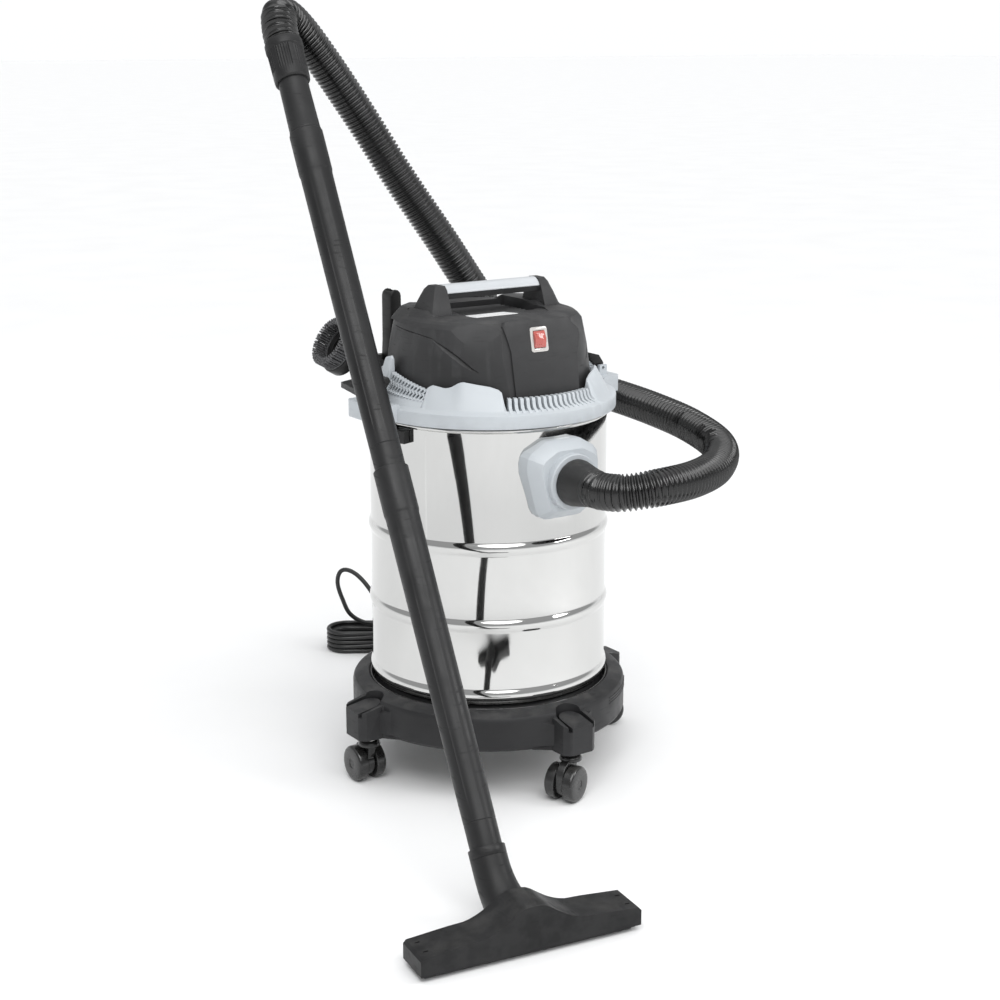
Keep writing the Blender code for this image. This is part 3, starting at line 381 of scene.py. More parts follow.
# ---------------------------------------------------------------- materials
class Shader:
    """A Principled material whose sockets are fed by noise, edge wear and dust."""

    def __init__(self, name, roughness, metallic=0.0, **sockets):
        self.material = bpy.data.materials.new(name)
        self.material.use_nodes = True
        self.tree = self.material.node_tree
        self.surface = self.tree.nodes["Principled BSDF"]
        self.surface.inputs["Metallic"].default_value = metallic
        self.surface.inputs["Roughness"].default_value = roughness
        for socket, value in sockets.items():
            self.surface.inputs[socket.replace("_", " ")].default_value = value
        self.place = self.add("ShaderNodeTexCoord").outputs["Object"]

    def add(self, kind, inputs=None, **values):
        """A node with its settings and inputs; an input is a value or another node's output."""
        node = self.tree.nodes.new(kind)
        for key, value in values.items():
            setattr(node, key, value)
        for socket, source in (inputs or {}).items():
            if hasattr(source, "links"):
                self.tree.links.new(source, node.inputs[socket])
            else:
                node.inputs[socket].default_value = source
        return node

    def noise(self, scale, detail=4.0, stretch=None, distortion=0.0):
        place = self.place
        if stretch:
            place = self.add("ShaderNodeMapping", {"Scale": stretch, "Vector": place}).outputs["Vector"]
        inputs = {"Vector": place, "Scale": scale, "Detail": detail, "Distortion": distortion}
        return self.add("ShaderNodeTexNoise", inputs).outputs["Fac"]

    def span(self, source, low, high, new_low, new_high):
        inputs = {"Value": source, "From Min": low, "From Max": high, "To Min": new_low, "To Max": new_high}
        return self.add("ShaderNodeMapRange", inputs).outputs["Result"]

    def maths(self, operation, a, b):
        return self.add("ShaderNodeMath", {0: a, 1: b}, operation=operation).outputs[0]

    def mix(self, factor, a, b):
        return self.add("ShaderNodeMix", {0: factor, 6: a, 7: b}, data_type="RGBA").outputs[2]

    def bump(self, height, strength, distance):
        node = self.add("ShaderNodeBump", {"Strength": strength, "Distance": distance, "Height": height})
        self.tree.links.new(node.outputs["Normal"], self.surface.inputs["Normal"])

    def colour(self, source):
        self.tree.links.new(source, self.surface.inputs["Base Color"])

    def roughness(self, source):
        self.tree.links.new(source, self.surface.inputs["Roughness"])


def rgb(colour):
    return (*colour, 1.0)


def plastic(name, colour, roughness, grain=0.25, grain_size=0.0007, shade=0.1, wear=0.1, dust=0.1,
            scuffs=0.12, **sockets):
    """Moulded plastic or rubber: grained, a little uneven, rubbed on its edges and dusty on top."""
    shader = Shader(name, roughness, **sockets)
    dark = tuple(value * (1 - shade) for value in colour)
    light = tuple(value * (1 + shade) + 0.004 for value in colour)
    tone = shader.mix(shader.span(shader.noise(9.0), 0.35, 0.65, 0.0, 1.0), rgb(dark), rgb(light))
    geometry_node = shader.add("ShaderNodeNewGeometry")
    rubbed = tuple(min(1.0, value * 1.5 + 0.05) for value in colour)
    edges = shader.span(geometry_node.outputs["Pointiness"], 0.515, 0.6, 0.0, wear)
    patchy = shader.maths("MULTIPLY", edges, shader.span(shader.noise(60.0), 0.4, 0.6, 0.2, 1.0))
    tone = shader.mix(patchy, tone, rgb(rubbed))
    normal = shader.add("ShaderNodeSeparateXYZ", {0: geometry_node.outputs["Normal"]})
    upward = shader.span(normal.outputs["Z"], 0.5, 1.0, 0.0, dust)
    settled = shader.maths("MULTIPLY", upward, shader.span(shader.noise(38.0, 6.0), 0.45, 0.75, 0.0, 1.0))
    shader.colour(shader.mix(settled, tone, rgb((0.5, 0.48, 0.45))))
    worn = shader.span(shader.noise(26.0, 5.0, distortion=0.6), 0.35, 0.7, roughness - 0.06, roughness + 0.1)
    scuffed = shader.span(shader.noise(14.0, 8.0, stretch=(3.0, 3.0, 22.0)), 0.6, 0.66, 0.0, scuffs)
    shader.roughness(shader.maths("ADD", worn, scuffed))
    shader.bump(shader.noise(1.0 / grain_size, 2.0), grain, 0.0002)
    return shader.material


def metal(name, colour, roughness, streak=(1.0, 1.0, 60.0), streak_depth=0.04, smudge=0.05, sway=0.0):
    """Bare metal: fine streaks from rolling or turning, handling marks, and a slight sway of the sheet."""
    shader = Shader(name, roughness, metallic=1.0)
    dull = tuple(value * 0.93 for value in colour)
    shader.colour(shader.mix(shader.span(shader.noise(5.0), 0.3, 0.7, 0.0, 1.0), rgb(dull), rgb(colour)))
    marks = shader.span(shader.noise(17.0, 6.0, distortion=0.8), 0.52, 0.72, roughness, roughness + smudge)
    lines = shader.span(shader.noise(30.0, 6.0, stretch=streak), 0.45, 0.75, 0.0, streak_depth)
    shader.roughness(shader.maths("ADD", marks, lines))
    broad = shader.noise(6.0, 1.0, stretch=(1.0, 1.0, 0.6))
    fine = shader.maths("MULTIPLY", shader.noise(40.0, 4.0, stretch=streak), 0.02)
    shader.bump(shader.maths("ADD", broad, fine), sway if sway > 0.0 else 0.05, 0.002)
    return shader.material


def bristle_look(name, colour):
    shader = Shader(name, 0.55)
    tips = tuple(value * 1.9 + 0.03 for value in colour)
    strands = shader.noise(420.0, 2.0, stretch=(1.0, 1.0, 0.08))
    shader.colour(shader.mix(shader.span(strands, 0.35, 0.65, 0.0, 1.0), rgb(colour), rgb(tips)))
    shader.bump(strands, 0.6, 0.0006)
    return shader.material


def foam_look(name, colour):
    shader = Shader(name, 0.95)
    cell = shader.add("ShaderNodeTexVoronoi", {"Vector": shader.place, "Scale": 420.0})
    pore_depth_and_shade = shader.span(cell.outputs["Distance"], 0.1, 0.6, 0.0, 1.0)
    # painted shade: the pore hollows are darkened in the colour, standing in for the shade that falls inside
    # them
    shader.colour(shader.mix(pore_depth_and_shade, rgb(tuple(value * 0.35 for value in colour)), rgb(colour)))
    shader.bump(pore_depth_and_shade, 0.8, 0.0008)
    return shader.material


MATT = {"Specular_IOR_Level": 0.3}
STEEL = metal("mirror_steel", (0.66, 0.66, 0.65), 0.045, streak_depth=0.02, smudge=0.03, sway=0.1)
ZINC = metal("bright_zinc_plate", (0.66, 0.66, 0.64), 0.22, smudge=0.12)
CASTING = metal("cast_aluminium_look", (0.55, 0.56, 0.57), 0.4, streak=(1.0, 1.0, 1.0), smudge=0.15)
COPPER = metal("copper_winding", (0.62, 0.28, 0.14), 0.38, streak=(40.0, 40.0, 1.0), smudge=0.1)
PALE = plastic("pale_grey_moulding", (0.465, 0.495, 0.52), 0.42, grain=0.12, wear=0.16, shade=0.03)
SILVER = plastic("silver_moulding", (0.5, 0.52, 0.54), 0.34, grain=0.1, wear=0.15, dust=0.08, shade=0.03)
CHARCOAL = plastic("charcoal_moulding", (0.03, 0.03, 0.031), 0.5, grain=0.45, wear=0.16, dust=0.06, **MATT)
TUBE_GREY = plastic("tube_moulding", (0.012, 0.012, 0.0125), 0.42, grain=0.2, wear=0.16, dust=0.04,
                    scuffs=0.2, **MATT)
NOZZLE_BLACK = plastic("nozzle_moulding", (0.007, 0.007, 0.0075), 0.46, grain=0.3, wear=0.16, dust=0.04,
                       Specular_IOR_Level=0.25)
BLACK = plastic("black_moulding", (0.01, 0.01, 0.01), 0.42, wear=0.14, dust=0.05, **MATT)
DOLLY = plastic("dolly_moulding", (0.017, 0.017, 0.018), 0.44, grain=0.3, wear=0.16, dust=0.06, **MATT)
DARK = plastic("dark_grey_moulding", (0.036, 0.036, 0.037), 0.5, grain=0.35, wear=0.12, dust=0.08, **MATT)
WHEEL = plastic("wheel_gloss", (0.007, 0.007, 0.007), 0.24, grain=0.06, Coat_Weight=0.3)
HOSE = plastic("hose_gloss", (0.003, 0.003, 0.003), 0.2, grain=0.04, wear=0.06, dust=0.05, Coat_Weight=0.25)
RUBBER = plastic("black_rubber_look", (0.013, 0.013, 0.013), 0.48, grain=0.35)
CORD = plastic("cord_sheath", (0.012, 0.012, 0.012), 0.36, grain=0.1, wear=0.04, dust=0.06)
WHITE = plastic("white_moulding", (0.78, 0.78, 0.76), 0.42, grain=0.1, wear=0.0, dust=0.06, shade=0.03)
LABEL = plastic("blank_label", (0.8, 0.8, 0.8), 0.38, grain=0.02, wear=0.0, dust=0.03, shade=0.02)
RED = plastic("red_lens_look", (0.42, 0.085, 0.07), 0.16, grain=0.02, wear=0.25, dust=0.0, shade=0.18,
              Coat_Weight=0.8)
BEZEL = plastic("clear_bezel_look", (0.52, 0.5, 0.48), 0.12, grain=0.02, wear=0.5, dust=0.0, shade=0.2,
                Coat_Weight=1.0)
BRISTLE = bristle_look("bristle_look", (0.06, 0.06, 0.062))
FOAM = foam_look("filter_foam_look", (0.1, 0.11, 0.12))


# ---------------------------------------------------------------- drum, dolly, casters and inlet
def bead(centre, steps=22):
    """One rolled bead, going down: a round bulge that runs out smoothly at both sides."""
    points = []
    for i in range(steps + 1):
        away = 1 - 2 * i / steps
        swell = (1 - away * away) ** 1.5
        points.append((DRUM_R + BEAD_PROUD * swell, centre + away * BEAD_HALF))
    return points


def make_drum():
    inner = DRUM_R - DRUM_WALL
    profile = [(0.0, DRUM_BOTTOM_Z + DRUM_WALL), (0.157, DRUM_BOTTOM_Z + DRUM_WALL), (0.1615, 0.1315),
               (inner, DRUM_BOTTOM_Z + 0.008), (inner, DRUM_TOP_Z - 0.0015)]
    profile += arc((DRUM_R + 0.0012, DRUM_TOP_Z - 0.0026), 0.0024, 120, -70, 8)
    profile += [(DRUM_R, DRUM_TOP_Z - 0.0065), (DRUM_R, DRUM_TOP_Z - 0.012)]
    for centre in BEADS_Z:
        profile += bead(centre)
    profile += [(DRUM_R, 0.1335), (0.1635, 0.13), (0.16, DRUM_BOTTOM_Z), (0.0, DRUM_BOTTOM_Z)]
    drum = lathe(profile, steps=288)
    hole = rod(INLET_BORE_R, 0.06, at((0, -DRUM_R, INLET_Z), FORWARD))
    piece("drum_shell", solid(drum, [hole]), STEEL, "drum_and_wand", "drum", angle=50)
    seam = [around(-64.0, DRUM_R - 0.0004 + reach, height, side)
            for height in (BEADS_Z[0] + BEAD_HALF + 0.002, DRUM_TOP_Z - 0.013)
            for reach, side in ((0.0, -0.001), (0.0009, -0.0003), (0.0009, 0.0003), (0.0, 0.001))]
    piece("drum_seam", hull(seam), STEEL, "drum_and_wand")


def make_dolly_arm():
    """A caster arm and the pocket in its top, with +X outwards and the stem's axis at the origin."""
    root = -0.024
    foot = 0.078
    half = [(root, 0.048), (-0.006, 0.0272), (0.018, 0.0262), (0.024, 0.0205), (0.0264, 0.0165)]
    outline = [(x, -y) for x, y in half] + half[::-1]
    top = [(x, y, 0.1215 - (x - root) * 0.24) for x, y in outline]
    arm = rings_mesh([[(x, y, 0.07) for x, y in outline], top], OWN_FRAME, caps=True)
    web = ((root, 0.066, 0.118), (root, 0.062, foot), (root, 0.02, 0.1205), (root, 0.02, foot),
           (-0.001, 0.0258, 0.1075), (-0.001, 0.0258, foot), (-0.01, 0.018, 0.11), (-0.01, 0.018, foot))
    arm = solid(arm, [hull([(x, sign * y, z) for x, y, z in web], OWN_FRAME) for sign in (-1, 1)], "UNION")
    arm = solid(arm, [rod(0.0058, 0.05, moved(0, 0, 0.073), 16)])
    outer = arc((0, 0), GROOVE_R, 90, 270, 20) + [(0.05, -GROOVE_R), (0.05, GROOVE_R)]
    inner = arc((0, 0), ISLAND_R, 90, 270, 20) + [(0.06, -ISLAND_R), (0.06, ISLAND_R)]
    above = box((0.16, 0.12, 0.04), moved(0, 0, 0.134) @ tilted(y=ISLAND_SLOPE))
    island = solid(plate(inner, 0.08, moved(0, 0, 0.124)), [above])
    return arm, solid(plate(outer, 0.05, moved(0, 0, 0.1285)), [island])


def make_dolly():
    profile = [(0.1708, 0.1268), (0.172, 0.128), (0.1735, 0.1282), (0.1885, 0.124), (0.192, 0.122),
               (0.1938, 0.119), (0.1945, 0.115), (0.1945, 0.0785), (0.1925, 0.075), (0.19, 0.075),
               (0.189, 0.099), (0.132, 0.099), (0.132, 0.1277), (0.156, 0.1277), (0.164, 0.112),
               (0.1708, 0.112)]
    ring = lathe(profile, steps=192, closed=True)
    arm, pocket = make_dolly_arm()
    arms = []
    pockets = []
    for angle in CASTER_ANGLES.values():
        for shape, group in ((arm, arms), (pocket, pockets)):
            copy = shape.copy()
            copy.transform(at(caster_stem(angle), (0, 0, radians(angle))))
            group.append(copy)
    body = solid(solid(ring, arms, "UNION"), pockets)
    piece("dolly_shell", body, DOLLY, "drum_and_wand", "dolly_base", edge=0.0008, edge_angle=24)
    gasket = [(0.1662, 0.118), (0.1704, 0.118), (0.1704, 0.1262), (0.1694, 0.1275), (0.168, 0.1275),
              (0.1668, 0.1262)]
    piece("dolly_ring_liner", lathe(gasket, steps=192, closed=True), WHEEL, "drum_and_wand")
    section = ((-0.002, 0.0007), (0.0003, 0.0007), (0.0003, -0.0007), (-0.002, -0.0007))
    ribs = []
    for i in range(3):
        height = 0.1155 - i * 0.0042
        ribs.append(rings_mesh([[around(26 + 2 * k, 0.1949 + out, height + up) for out, up in section]
                                for k in range(15)], caps=True))
    piece("dolly_front_ribs", ribs, DOLLY, "drum_and_wand")


def caster_stem(angle):
    """The foot of a caster's stem axis, by its angle from +X."""
    turn = radians(angle)
    return CASTER_RADIUS * cos(turn), CASTER_RADIUS * sin(turn), 0.0


def make_caster(place, angle, turn):
    swivel = at(caster_stem(angle), (0, 0, radians(turn)))
    stem = [(0.0, 0.095), (0.005, 0.095), (0.0055, 0.0945), (0.0055, 0.066), (0.01, 0.0658), (0.0105, 0.0652),
            (0.0105, 0.064), (0.0092, 0.0634), (0.0105, 0.0628), (0.0105, 0.062), (0.0098, 0.0615),
            (0.0, 0.0615)]
    piece("caster_pin_" + place, lathe(stem, swivel, 40), ZINC, "caster_" + place, "caster_stem_" + place)
    hub = (CASTER_TRAIL, WHEEL_R)
    outline = arc(hub, 0.0195, 150, 360, 24)
    outline += [(hub[0] + 0.0185, 0.04), (hub[0] + 0.0125, 0.0495), (0.0105, 0.0592), (-0.012, 0.0592)]
    hood = plate(outline, HOOD_THICKNESS - 0.0006, swivel @ tilted(QUARTER))
    dome = [(0, 0.0526), (0.0155, 0.053), (0.0155, 0.056), (0.0145, 0.059), (0.0125, 0.0611), (0, 0.0611)]
    cap = lathe(dome, swivel, 40)
    axle = rod(0.003, 0.0405, swivel @ moved(hub[0], 0, hub[1]) @ tilted(QUARTER), 20)
    piece("caster_hood_shell_" + place, [hood, cap, axle], WHEEL, "caster_" + place, "caster_hood_" + place,
          edge=0.0016, rounds=3)
    half = WHEEL_WIDTH / 2
    tread = [(0.0034, half - 0.0016), (0.0062, half - 0.0016), (0.007, half - 0.0008), (0.0185, half),
             (0.0212, half - 0.0006)] + arc((WHEEL_R - 0.0045, half - 0.005), 0.0045, 70, 0, 5)
    tread += [(WHEEL_R, -half + 0.0012), (WHEEL_R - 0.0012, -half), (0.0034, -half)]
    for side, sign in (("left", 1), ("right", -1)):
        middle = sign * (HOOD_THICKNESS / 2 + GAP + half)
        wheel_place = swivel @ moved(hub[0], middle, hub[1]) @ tilted(-QUARTER * sign)
        cap_outline = [(0, half - 0.0016), (0.0032, half - 0.0016), (0.0032, half - 0.006), (0, half - 0.006)]
        wheel = [lathe(tread, wheel_place, 72, closed=True), lathe(cap_outline, wheel_place, 24)]
        end = "_%s_%s" % (place, side)
        piece("caster_tread" + end, wheel, WHEEL, "caster_wheels_" + place, "caster_wheel" + end, angle=40)


def shield(half_x, half_z, lift=0.0):
    """Outline of the inlet housing: a shield, narrower at its foot, with its corners taken off."""
    right = ((0.4, 1.0), (0.5, 0.97), (0.88, 0.74), (0.97, 0.62), (1.0, 0.45), (0.99, 0.2), (0.74, -0.74),
             (0.66, -0.88), (0.5, -0.985), (0.4, -1.0))
    points = [(x * half_x, z * half_z + lift) for x, z in right]
    return points + [(-x, z) for x, z in reversed(points)]


def make_inlet():
    sections = ((-0.14, 0.057, 0.053, 0.0), (-0.1745, 0.057, 0.053, 0.0), (-0.1775, 0.0558, 0.0518, 0.0),
                (-0.1905, 0.047, 0.043, 0.001), (-0.193, 0.0445, 0.0405, 0.0012))
    rings = [[(x, y, INLET_Z + z) for x, z in shield(half_x, half_z, lift)]
             for y, half_x, half_z, lift in sections]
    facing = at((0, INLET_FACE_Y, INLET_Z), FORWARD)
    collar = lathe([(0, -0.03), (0.039, -0.03), (0.0385, -0.012), (0.0375, -0.01), (0.0375, -0.0016),
                    (0.0364, 0.0), (0, 0.0)], facing, 72)
    housing = solid(rings_mesh(rings, caps=True), [collar], "UNION")
    drum_space = rod(DRUM_R + GAP, 0.2, at((0, 0, INLET_Z)), 288)
    bore = rod(INLET_BORE_R, 0.16, facing, 64)
    housing = solid(housing, [drum_space, bore])
    piece("inlet_shell", housing, PALE, "drum_and_wand", "inlet_housing", edge=0.0006, edge_angle=16)
    neck_r = INLET_BORE_R - GAP
    cuff = [(0.0205, 0.044), (0.024, 0.044), (0.025, 0.0434), (0.0252, 0.04), (0.0246, 0.0385),
            (0.0262, 0.032), (0.0278, 0.023), (0.0298, 0.013), (0.0306, 0.0075), (0.0312, 0.0055),
            (0.0312, 0.0012), (0.0306, GAP), (neck_r, GAP), (neck_r, -0.03), (0.0205, -0.03)]
    cuff_mesh = lathe(cuff, facing, 96, closed=True)
    piece("inlet_cuff_shell", cuff_mesh, RUBBER, "drum_and_wand", "hose_inlet_cuff")


# ---------------------------------------------------------------- lid
FRONT_LOUVRE_HALF = 25.0
FRONT_LOUVRES = 17
SIDE_LOUVRES = 12
SIDE_FLANGE_Z = 0.544


def crest_height(angle):
    """Top of the lid's crown by angle from the front; the louvres stand in its low stretches."""
    turn = abs(angle)
    low = CROWN_FOOT_Z - 0.0015
    steps = ((0, low), (FRONT_LOUVRE_HALF + 0.4, low), (26.1, 0.542), (27.2, 0.5575), (28.8, 0.5612),
             (33, 0.5648), (46.9, 0.5706), (49, 0.569), (53, 0.5628), (56.2, 0.5612), (60, 0.5628),
             (63.5, 0.564), (65.6, 0.56), (66.4, SIDE_FLANGE_Z), (92.0, SIDE_FLANGE_Z + 0.0045), (92.6, 0.59),
             (94, 0.5935), (101, 0.589), (108, 0.566), (116, 0.56), (180, 0.56))
    for (a, below), (b, above) in zip(steps, steps[1:]):
        if turn <= b:
            return below + (above - below) * (turn - a) / (b - a)
    return steps[-1][1]


def lid_section(angle):
    crest = crest_height(angle)
    turn = radians(angle)
    lean = max(0.0, min((crest - CROWN_FOOT_Z) * 0.42, 0.0125))
    wall_foot = min(0.0025, crest - 0.533)
    profile = [(0.1612 - lean, crest), (0.1622 - lean, crest - 0.0008),
               (0.1655, CROWN_FOOT_Z - 0.0012 + wall_foot * 0.4), (0.1675, CROWN_FOOT_Z - 0.0018),
               (0.175, 0.53215), (0.1765, 0.5312), (RIM_R, 0.5294), (RIM_R, 0.5152), (0.1763, 0.5136),
               (0.175, RIM_BOTTOM_Z), (0.1712, RIM_BOTTOM_Z), (0.1712, DECK_Z + 0.0012),
               (0.1585, DECK_Z + 0.0012), (0.1585, RIM_BOTTOM_Z), (0.1, RIM_BOTTOM_Z), (0.1, DECK_Z),
               (0.1455, DECK_Z), (0.1455, 0.5325), (0.1588 - lean, crest - 0.001), (0.1598 - lean, crest)]
    return [(radius * sin(turn), -radius * cos(turn), height) for radius, height in profile]


def around(angle, radius, height, sideways=0.0):
    """A point on the lid, by its angle from the front."""
    turn = radians(angle)
    return (radius * sin(turn) + sideways * cos(turn),
            -radius * cos(turn) + sideways * sin(turn), height)


def louvre(angle, levels, half_width):
    """One upright rib; levels are (inner radius, outer radius, height, sideways)."""
    rings = []
    for inner, outer, height, sideways in levels:
        rings.append([around(angle, inner, height, sideways - half_width),
                      around(angle, outer, height, sideways - half_width),
                      around(angle, outer, height, sideways + half_width),
                      around(angle, inner, height, sideways + half_width)])
    return rings_mesh(rings, caps=True)


def make_lid():
    angles = sorted(set([i * 1.5 for i in range(-120, 120)]
                        + [sign * edge for sign in (-1, 1)
                           for edge in (25.4, 26.1, 27.2, 28.8, 65.6, 66.4, 92.0, 92.6, 94.0)]))
    crown = rings_mesh([lid_section(angle) for angle in angles], closed=True)
    ears = []
    for sign in (-1, 1):
        outline = [(0.186, -0.036), (0.2, -0.035), (0.204, -0.031), (0.206, -0.026)]
        outline += [(x, -y) for x, y in reversed(outline)]
        outline += arc((0, 0), RIM_R - 0.0028, 14, -14, 6)
        ears.append(plate([(sign * x, y) for x, y in outline], 0.0225, at((0, 0, 0.52625))))
        for end in (-1, 1):
            cheek = (sign * LATCH_X, end * (LATCH_HALF_WIDTH + 0.0052), 0.543)
            ears.append(box((0.013, 0.005, 0.018), at(cheek)))
    crown = solid(crown, ears, "UNION")
    tools = []
    for sign in (-1, 1):
        tools.append(box((0.0238, 2 * LATCH_HALF_WIDTH + 0.004, 0.12), at((sign * 0.1848, 0, 0.54))))
        tools.append(rod(LATCH_BORE_R, 0.05, at((sign * LATCH_X, 0, LATCH_Z), FORWARD), 20))
    crown = solid(crown, tools)
    piece("lid_shell", crown, PALE, "head", "lid_ring", edge=0.0007, rounds=2, edge_angle=32)
    ribs = []
    front_levels = [(0.1462, 0.159, 0.532, 0.0), (0.1462, 0.1715, 0.5322, 0.0), (0.1462, 0.1705, 0.534, 0.0),
                    (0.1462, 0.1618, 0.538, 0.0), (0.1465, 0.1592, 0.5425, 0.0),
                    (0.1468, 0.1583, 0.5475, 0.0), (0.1485, 0.1565, 0.5502, 0.0)]
    for i in range(FRONT_LOUVRES):
        ribs.append(louvre(-23.6 + i * 2.95, front_levels, 0.0023))
    for sign in (-1, 1):
        for i in range(SIDE_LOUVRES):
            angle = 67.3 + i * 2.14
            along = i / (SIDE_LOUVRES - 1)
            foot = SIDE_FLANGE_Z - 0.001 + 0.0045 * along
            rise = (0.0145 + 0.0105 * along) / 8
            side_levels = []
            for k in range(9):
                zig = 0.0018 * (1 if (k // 2) % 2 else -1) if k % 2 else 0.0
                outer = 0.1575 - 0.0006 * k if k else 0.1605
                side_levels.append((0.1462, outer, foot + k * rise, zig))
            ribs.append(louvre(sign * angle, side_levels, 0.0015))
    piece("lid_louvres", ribs, PALE, "head", edge=0.0004, rounds=2, edge_angle=40)
    for side, sign in (("left", -1), ("right", 1)):
        refined("latch_" + side, BLACK, "latch_" + side, 0.0008)
        outline = arc((0, 0), DRUM_R + 0.0105, 73, 107, 12) + arc((0, 0), DRUM_R + GAP, 107, 73, 12)
        catch = plate(outline, 0.0175, at((0, 0, 0.4945), (0, 0, -QUARTER * sign)))
        piece("catch_" + side, catch, BLACK, "drum_and_wand", "catch_plate_" + side, edge=0.001)


# ---------------------------------------------------------------- motor head
COVER_PROFILE = ((0.098, 0.001), (0.1195, 0.005), (0.1285, 0.014), (0.1355, 0.048), (0.142, 0.098))


def cover_radius(height):
    """The motor cover's outside radius at a height."""
    drop = HEAD_TOP_Z - height
    for (low_r, low_drop), (high_r, high_drop) in zip(COVER_PROFILE, COVER_PROFILE[1:]):
        if drop <= high_drop:
            return low_r + (high_r - low_r) * (drop - low_drop) / (high_drop - low_drop)
    return COVER_PROFILE[-1][0]


def head_space(inset, steps=180):
    top = HEAD_TOP_Z - inset
    base = DECK_Z + GAP if inset == 0 else DECK_Z - 0.01
    profile = [(0.0, top), (0.098 - inset, top - 0.001), (0.112 - inset, top - 0.0026),
               (0.1195 - inset, top - 0.005), (0.124 - inset, top - 0.0084), (0.1285 - inset, top - 0.014),
               (0.1355 - inset, 0.6), (0.142 - inset, 0.55), (0.142 - inset, base), (0.0, base)]
    body = lathe(profile, steps=steps)
    panel = box((0.3, 0.1, 0.3), at((0, -0.1715 + inset, 0.606), (-PANEL_TILT, 0, 0)))
    return solid(body, [panel])


def gill(sign):
    """A fine crease that runs forward along the cover's side and opens into a leaf-shaped recess."""
    stations = ((108, 0.629, 0.6279, 0.001), (95, 0.6283, 0.627, 0.0012), (80, 0.6262, 0.6247, 0.0013),
                (68, 0.6226, 0.6206, 0.0015), (62, 0.6178, 0.6105, 0.0024), (57, 0.6126, 0.603, 0.003),
                (52, 0.606, 0.5955, 0.0032), (47, 0.5978, 0.5872, 0.0028), (43, 0.5898, 0.5818, 0.002),
                (39, 0.5815, 0.5801, 0.0008))
    rings = []
    for angle, upper, lower, depth in stations:
        middle = (upper + lower) / 2
        spread = (upper - lower) * 1.9
        rings.append([around(sign * angle, cover_radius(middle) - depth, middle),
                      around(sign * angle, cover_radius(middle) + 0.006, middle - spread / 2 - 0.001),
                      around(sign * angle, cover_radius(middle) + 0.006, middle + spread / 2 + 0.001)])
    return rings_mesh(rings, caps=True)


def facet(sign):
    """A flat that takes off the cover's top edge at each side of the front panel."""
    turn = radians(41.0)
    outward = Vector((sign * 0.912 * sin(turn), -0.912 * cos(turn), 0.41)).normalized()
    middle = Vector((sign * 0.1258 * sin(turn), -0.1258 * cos(turn), 0.63))
    facing = outward.to_track_quat("Z", "Y").to_matrix().to_4x4()
    return box((0.16, 0.16, 0.06), MACHINE @ Matrix.Translation(middle + outward * 0.03) @ facing)


def front_panel():
    """The front panel: a slab that stands proud of the flat, with its top corners taken off."""
    outline = [(-0.0552, 0.021), (-0.05, 0.0268), (0.044, 0.0268), (0.05, 0.0235), (0.0655, 0.009),
               (0.0665, 0.0), (0.06, -0.025), (0.056, -0.085), (-0.0455, -0.085), (-0.0462, -0.013),
               (-0.049, 0.0)]
    return plate(outline, 0.009, at(SWITCH_PLACE, (QUARTER - PANEL_TILT, 0, 0))
                 @ moved(0, 0, -0.002))


def shoulder(sign):
    """The low swelling of the cover's top beside each handle post."""
    top = ((0.07, -0.014), (0.101, -0.016), (0.1105, 0.02), (0.104, 0.056), (0.08, 0.074), (0.06, 0.06))
    foot = ((0.06, -0.05), (0.113, -0.046), (0.1262, 0.01), (0.1195, 0.06), (0.09, 0.098), (0.05, 0.09))
    return hull([(sign * x, y, 0.652) for x, y in top] + [(sign * x, y, 0.635) for x, y in foot])


def make_cover():
    cover = solid(head_space(0.0), [facet(1), facet(-1)])
    cover = solid(cover, [front_panel(), shoulder(1), shoulder(-1)], "UNION")
    cover = eased(cover, 0.0016, 3, 14)
    cover = solid(cover, [head_space(0.0042, 60)])
    cover = solid(cover, [box((0.15, 0.14, 0.026), at((0, 0.001, 0.632)))], "UNION")
    well = plate([(-0.066, -0.03), (0.066, -0.03), (0.066, 0.062), (-0.066, 0.062)], 0.06,
                 at((0, 0, WELL_FLOOR_Z + 0.03)))
    slope = ((-0.072, 0.647), (-0.072, 0.67), (-0.0295, 0.644), (-0.0295, 0.67))
    corner = [(0.066, -0.0295, 0.644), (0.066, -0.0295, 0.67), (0.066, -0.04, 0.6447), (0.066, -0.04, 0.67)]
    ramp = hull([(x, y, z) for x in (-0.068, 0.05) for y, z in slope] + corner)
    vent = plate(round_box(0.054, 0.046, 0.004, 3), 0.04, at((0, 0.008, 0.625)))
    switch_hole = box((0.0225, 0.05, 0.0275), at(SWITCH_PLACE, (-PANEL_TILT, 0, 0)))
    cord_hole = rod(0.0062, 0.05, at((GLAND[0], 0.125, GLAND[2]), FORWARD), 32)
    slot = box((0.0115, 0.004, 0.012), at((-0.106, 0.026, 0.652), (0, 0, radians(-34))))
    cover = solid(cover, [well, ramp, vent, switch_hole, cord_hole, slot, gill(1), gill(-1)])
    piece("cover_shell", cover, CHARCOAL, "head", "motor_cover", angle=32)
    tilt = atan2(0.647 - 0.644, 0.072 - 0.0295)
    label = plate(round_box(0.034, 0.018, 0.0015, 3), 0.0006,
                  at((-0.031, -0.051, 0.64552 + 0.0003), (-tilt, 0, 0)))
    piece("rating_label", label, LABEL, "head", edge=0.0002)
    frame_outline = round_box(0.0535, 0.0455, 0.004, 4)
    grille = solid(plate(frame_outline, 0.0065, at((0, 0.008, 0.6235))),
                   [plate(round_box(0.0495, 0.0415, 0.002, 3), 0.02, at((0, 0.008, 0.6235)))])
    slats = []
    for i in range(8):
        slats.append(box((0.107, 0.0022, 0.0135),
                         at((0, -0.0262 + i * 0.01, 0.6362), (radians(-40), 0, 0))))
    piece("grille_shell", solid(grille, slats, "UNION"), DARK, "head", "top_grille", edge=0.0004)


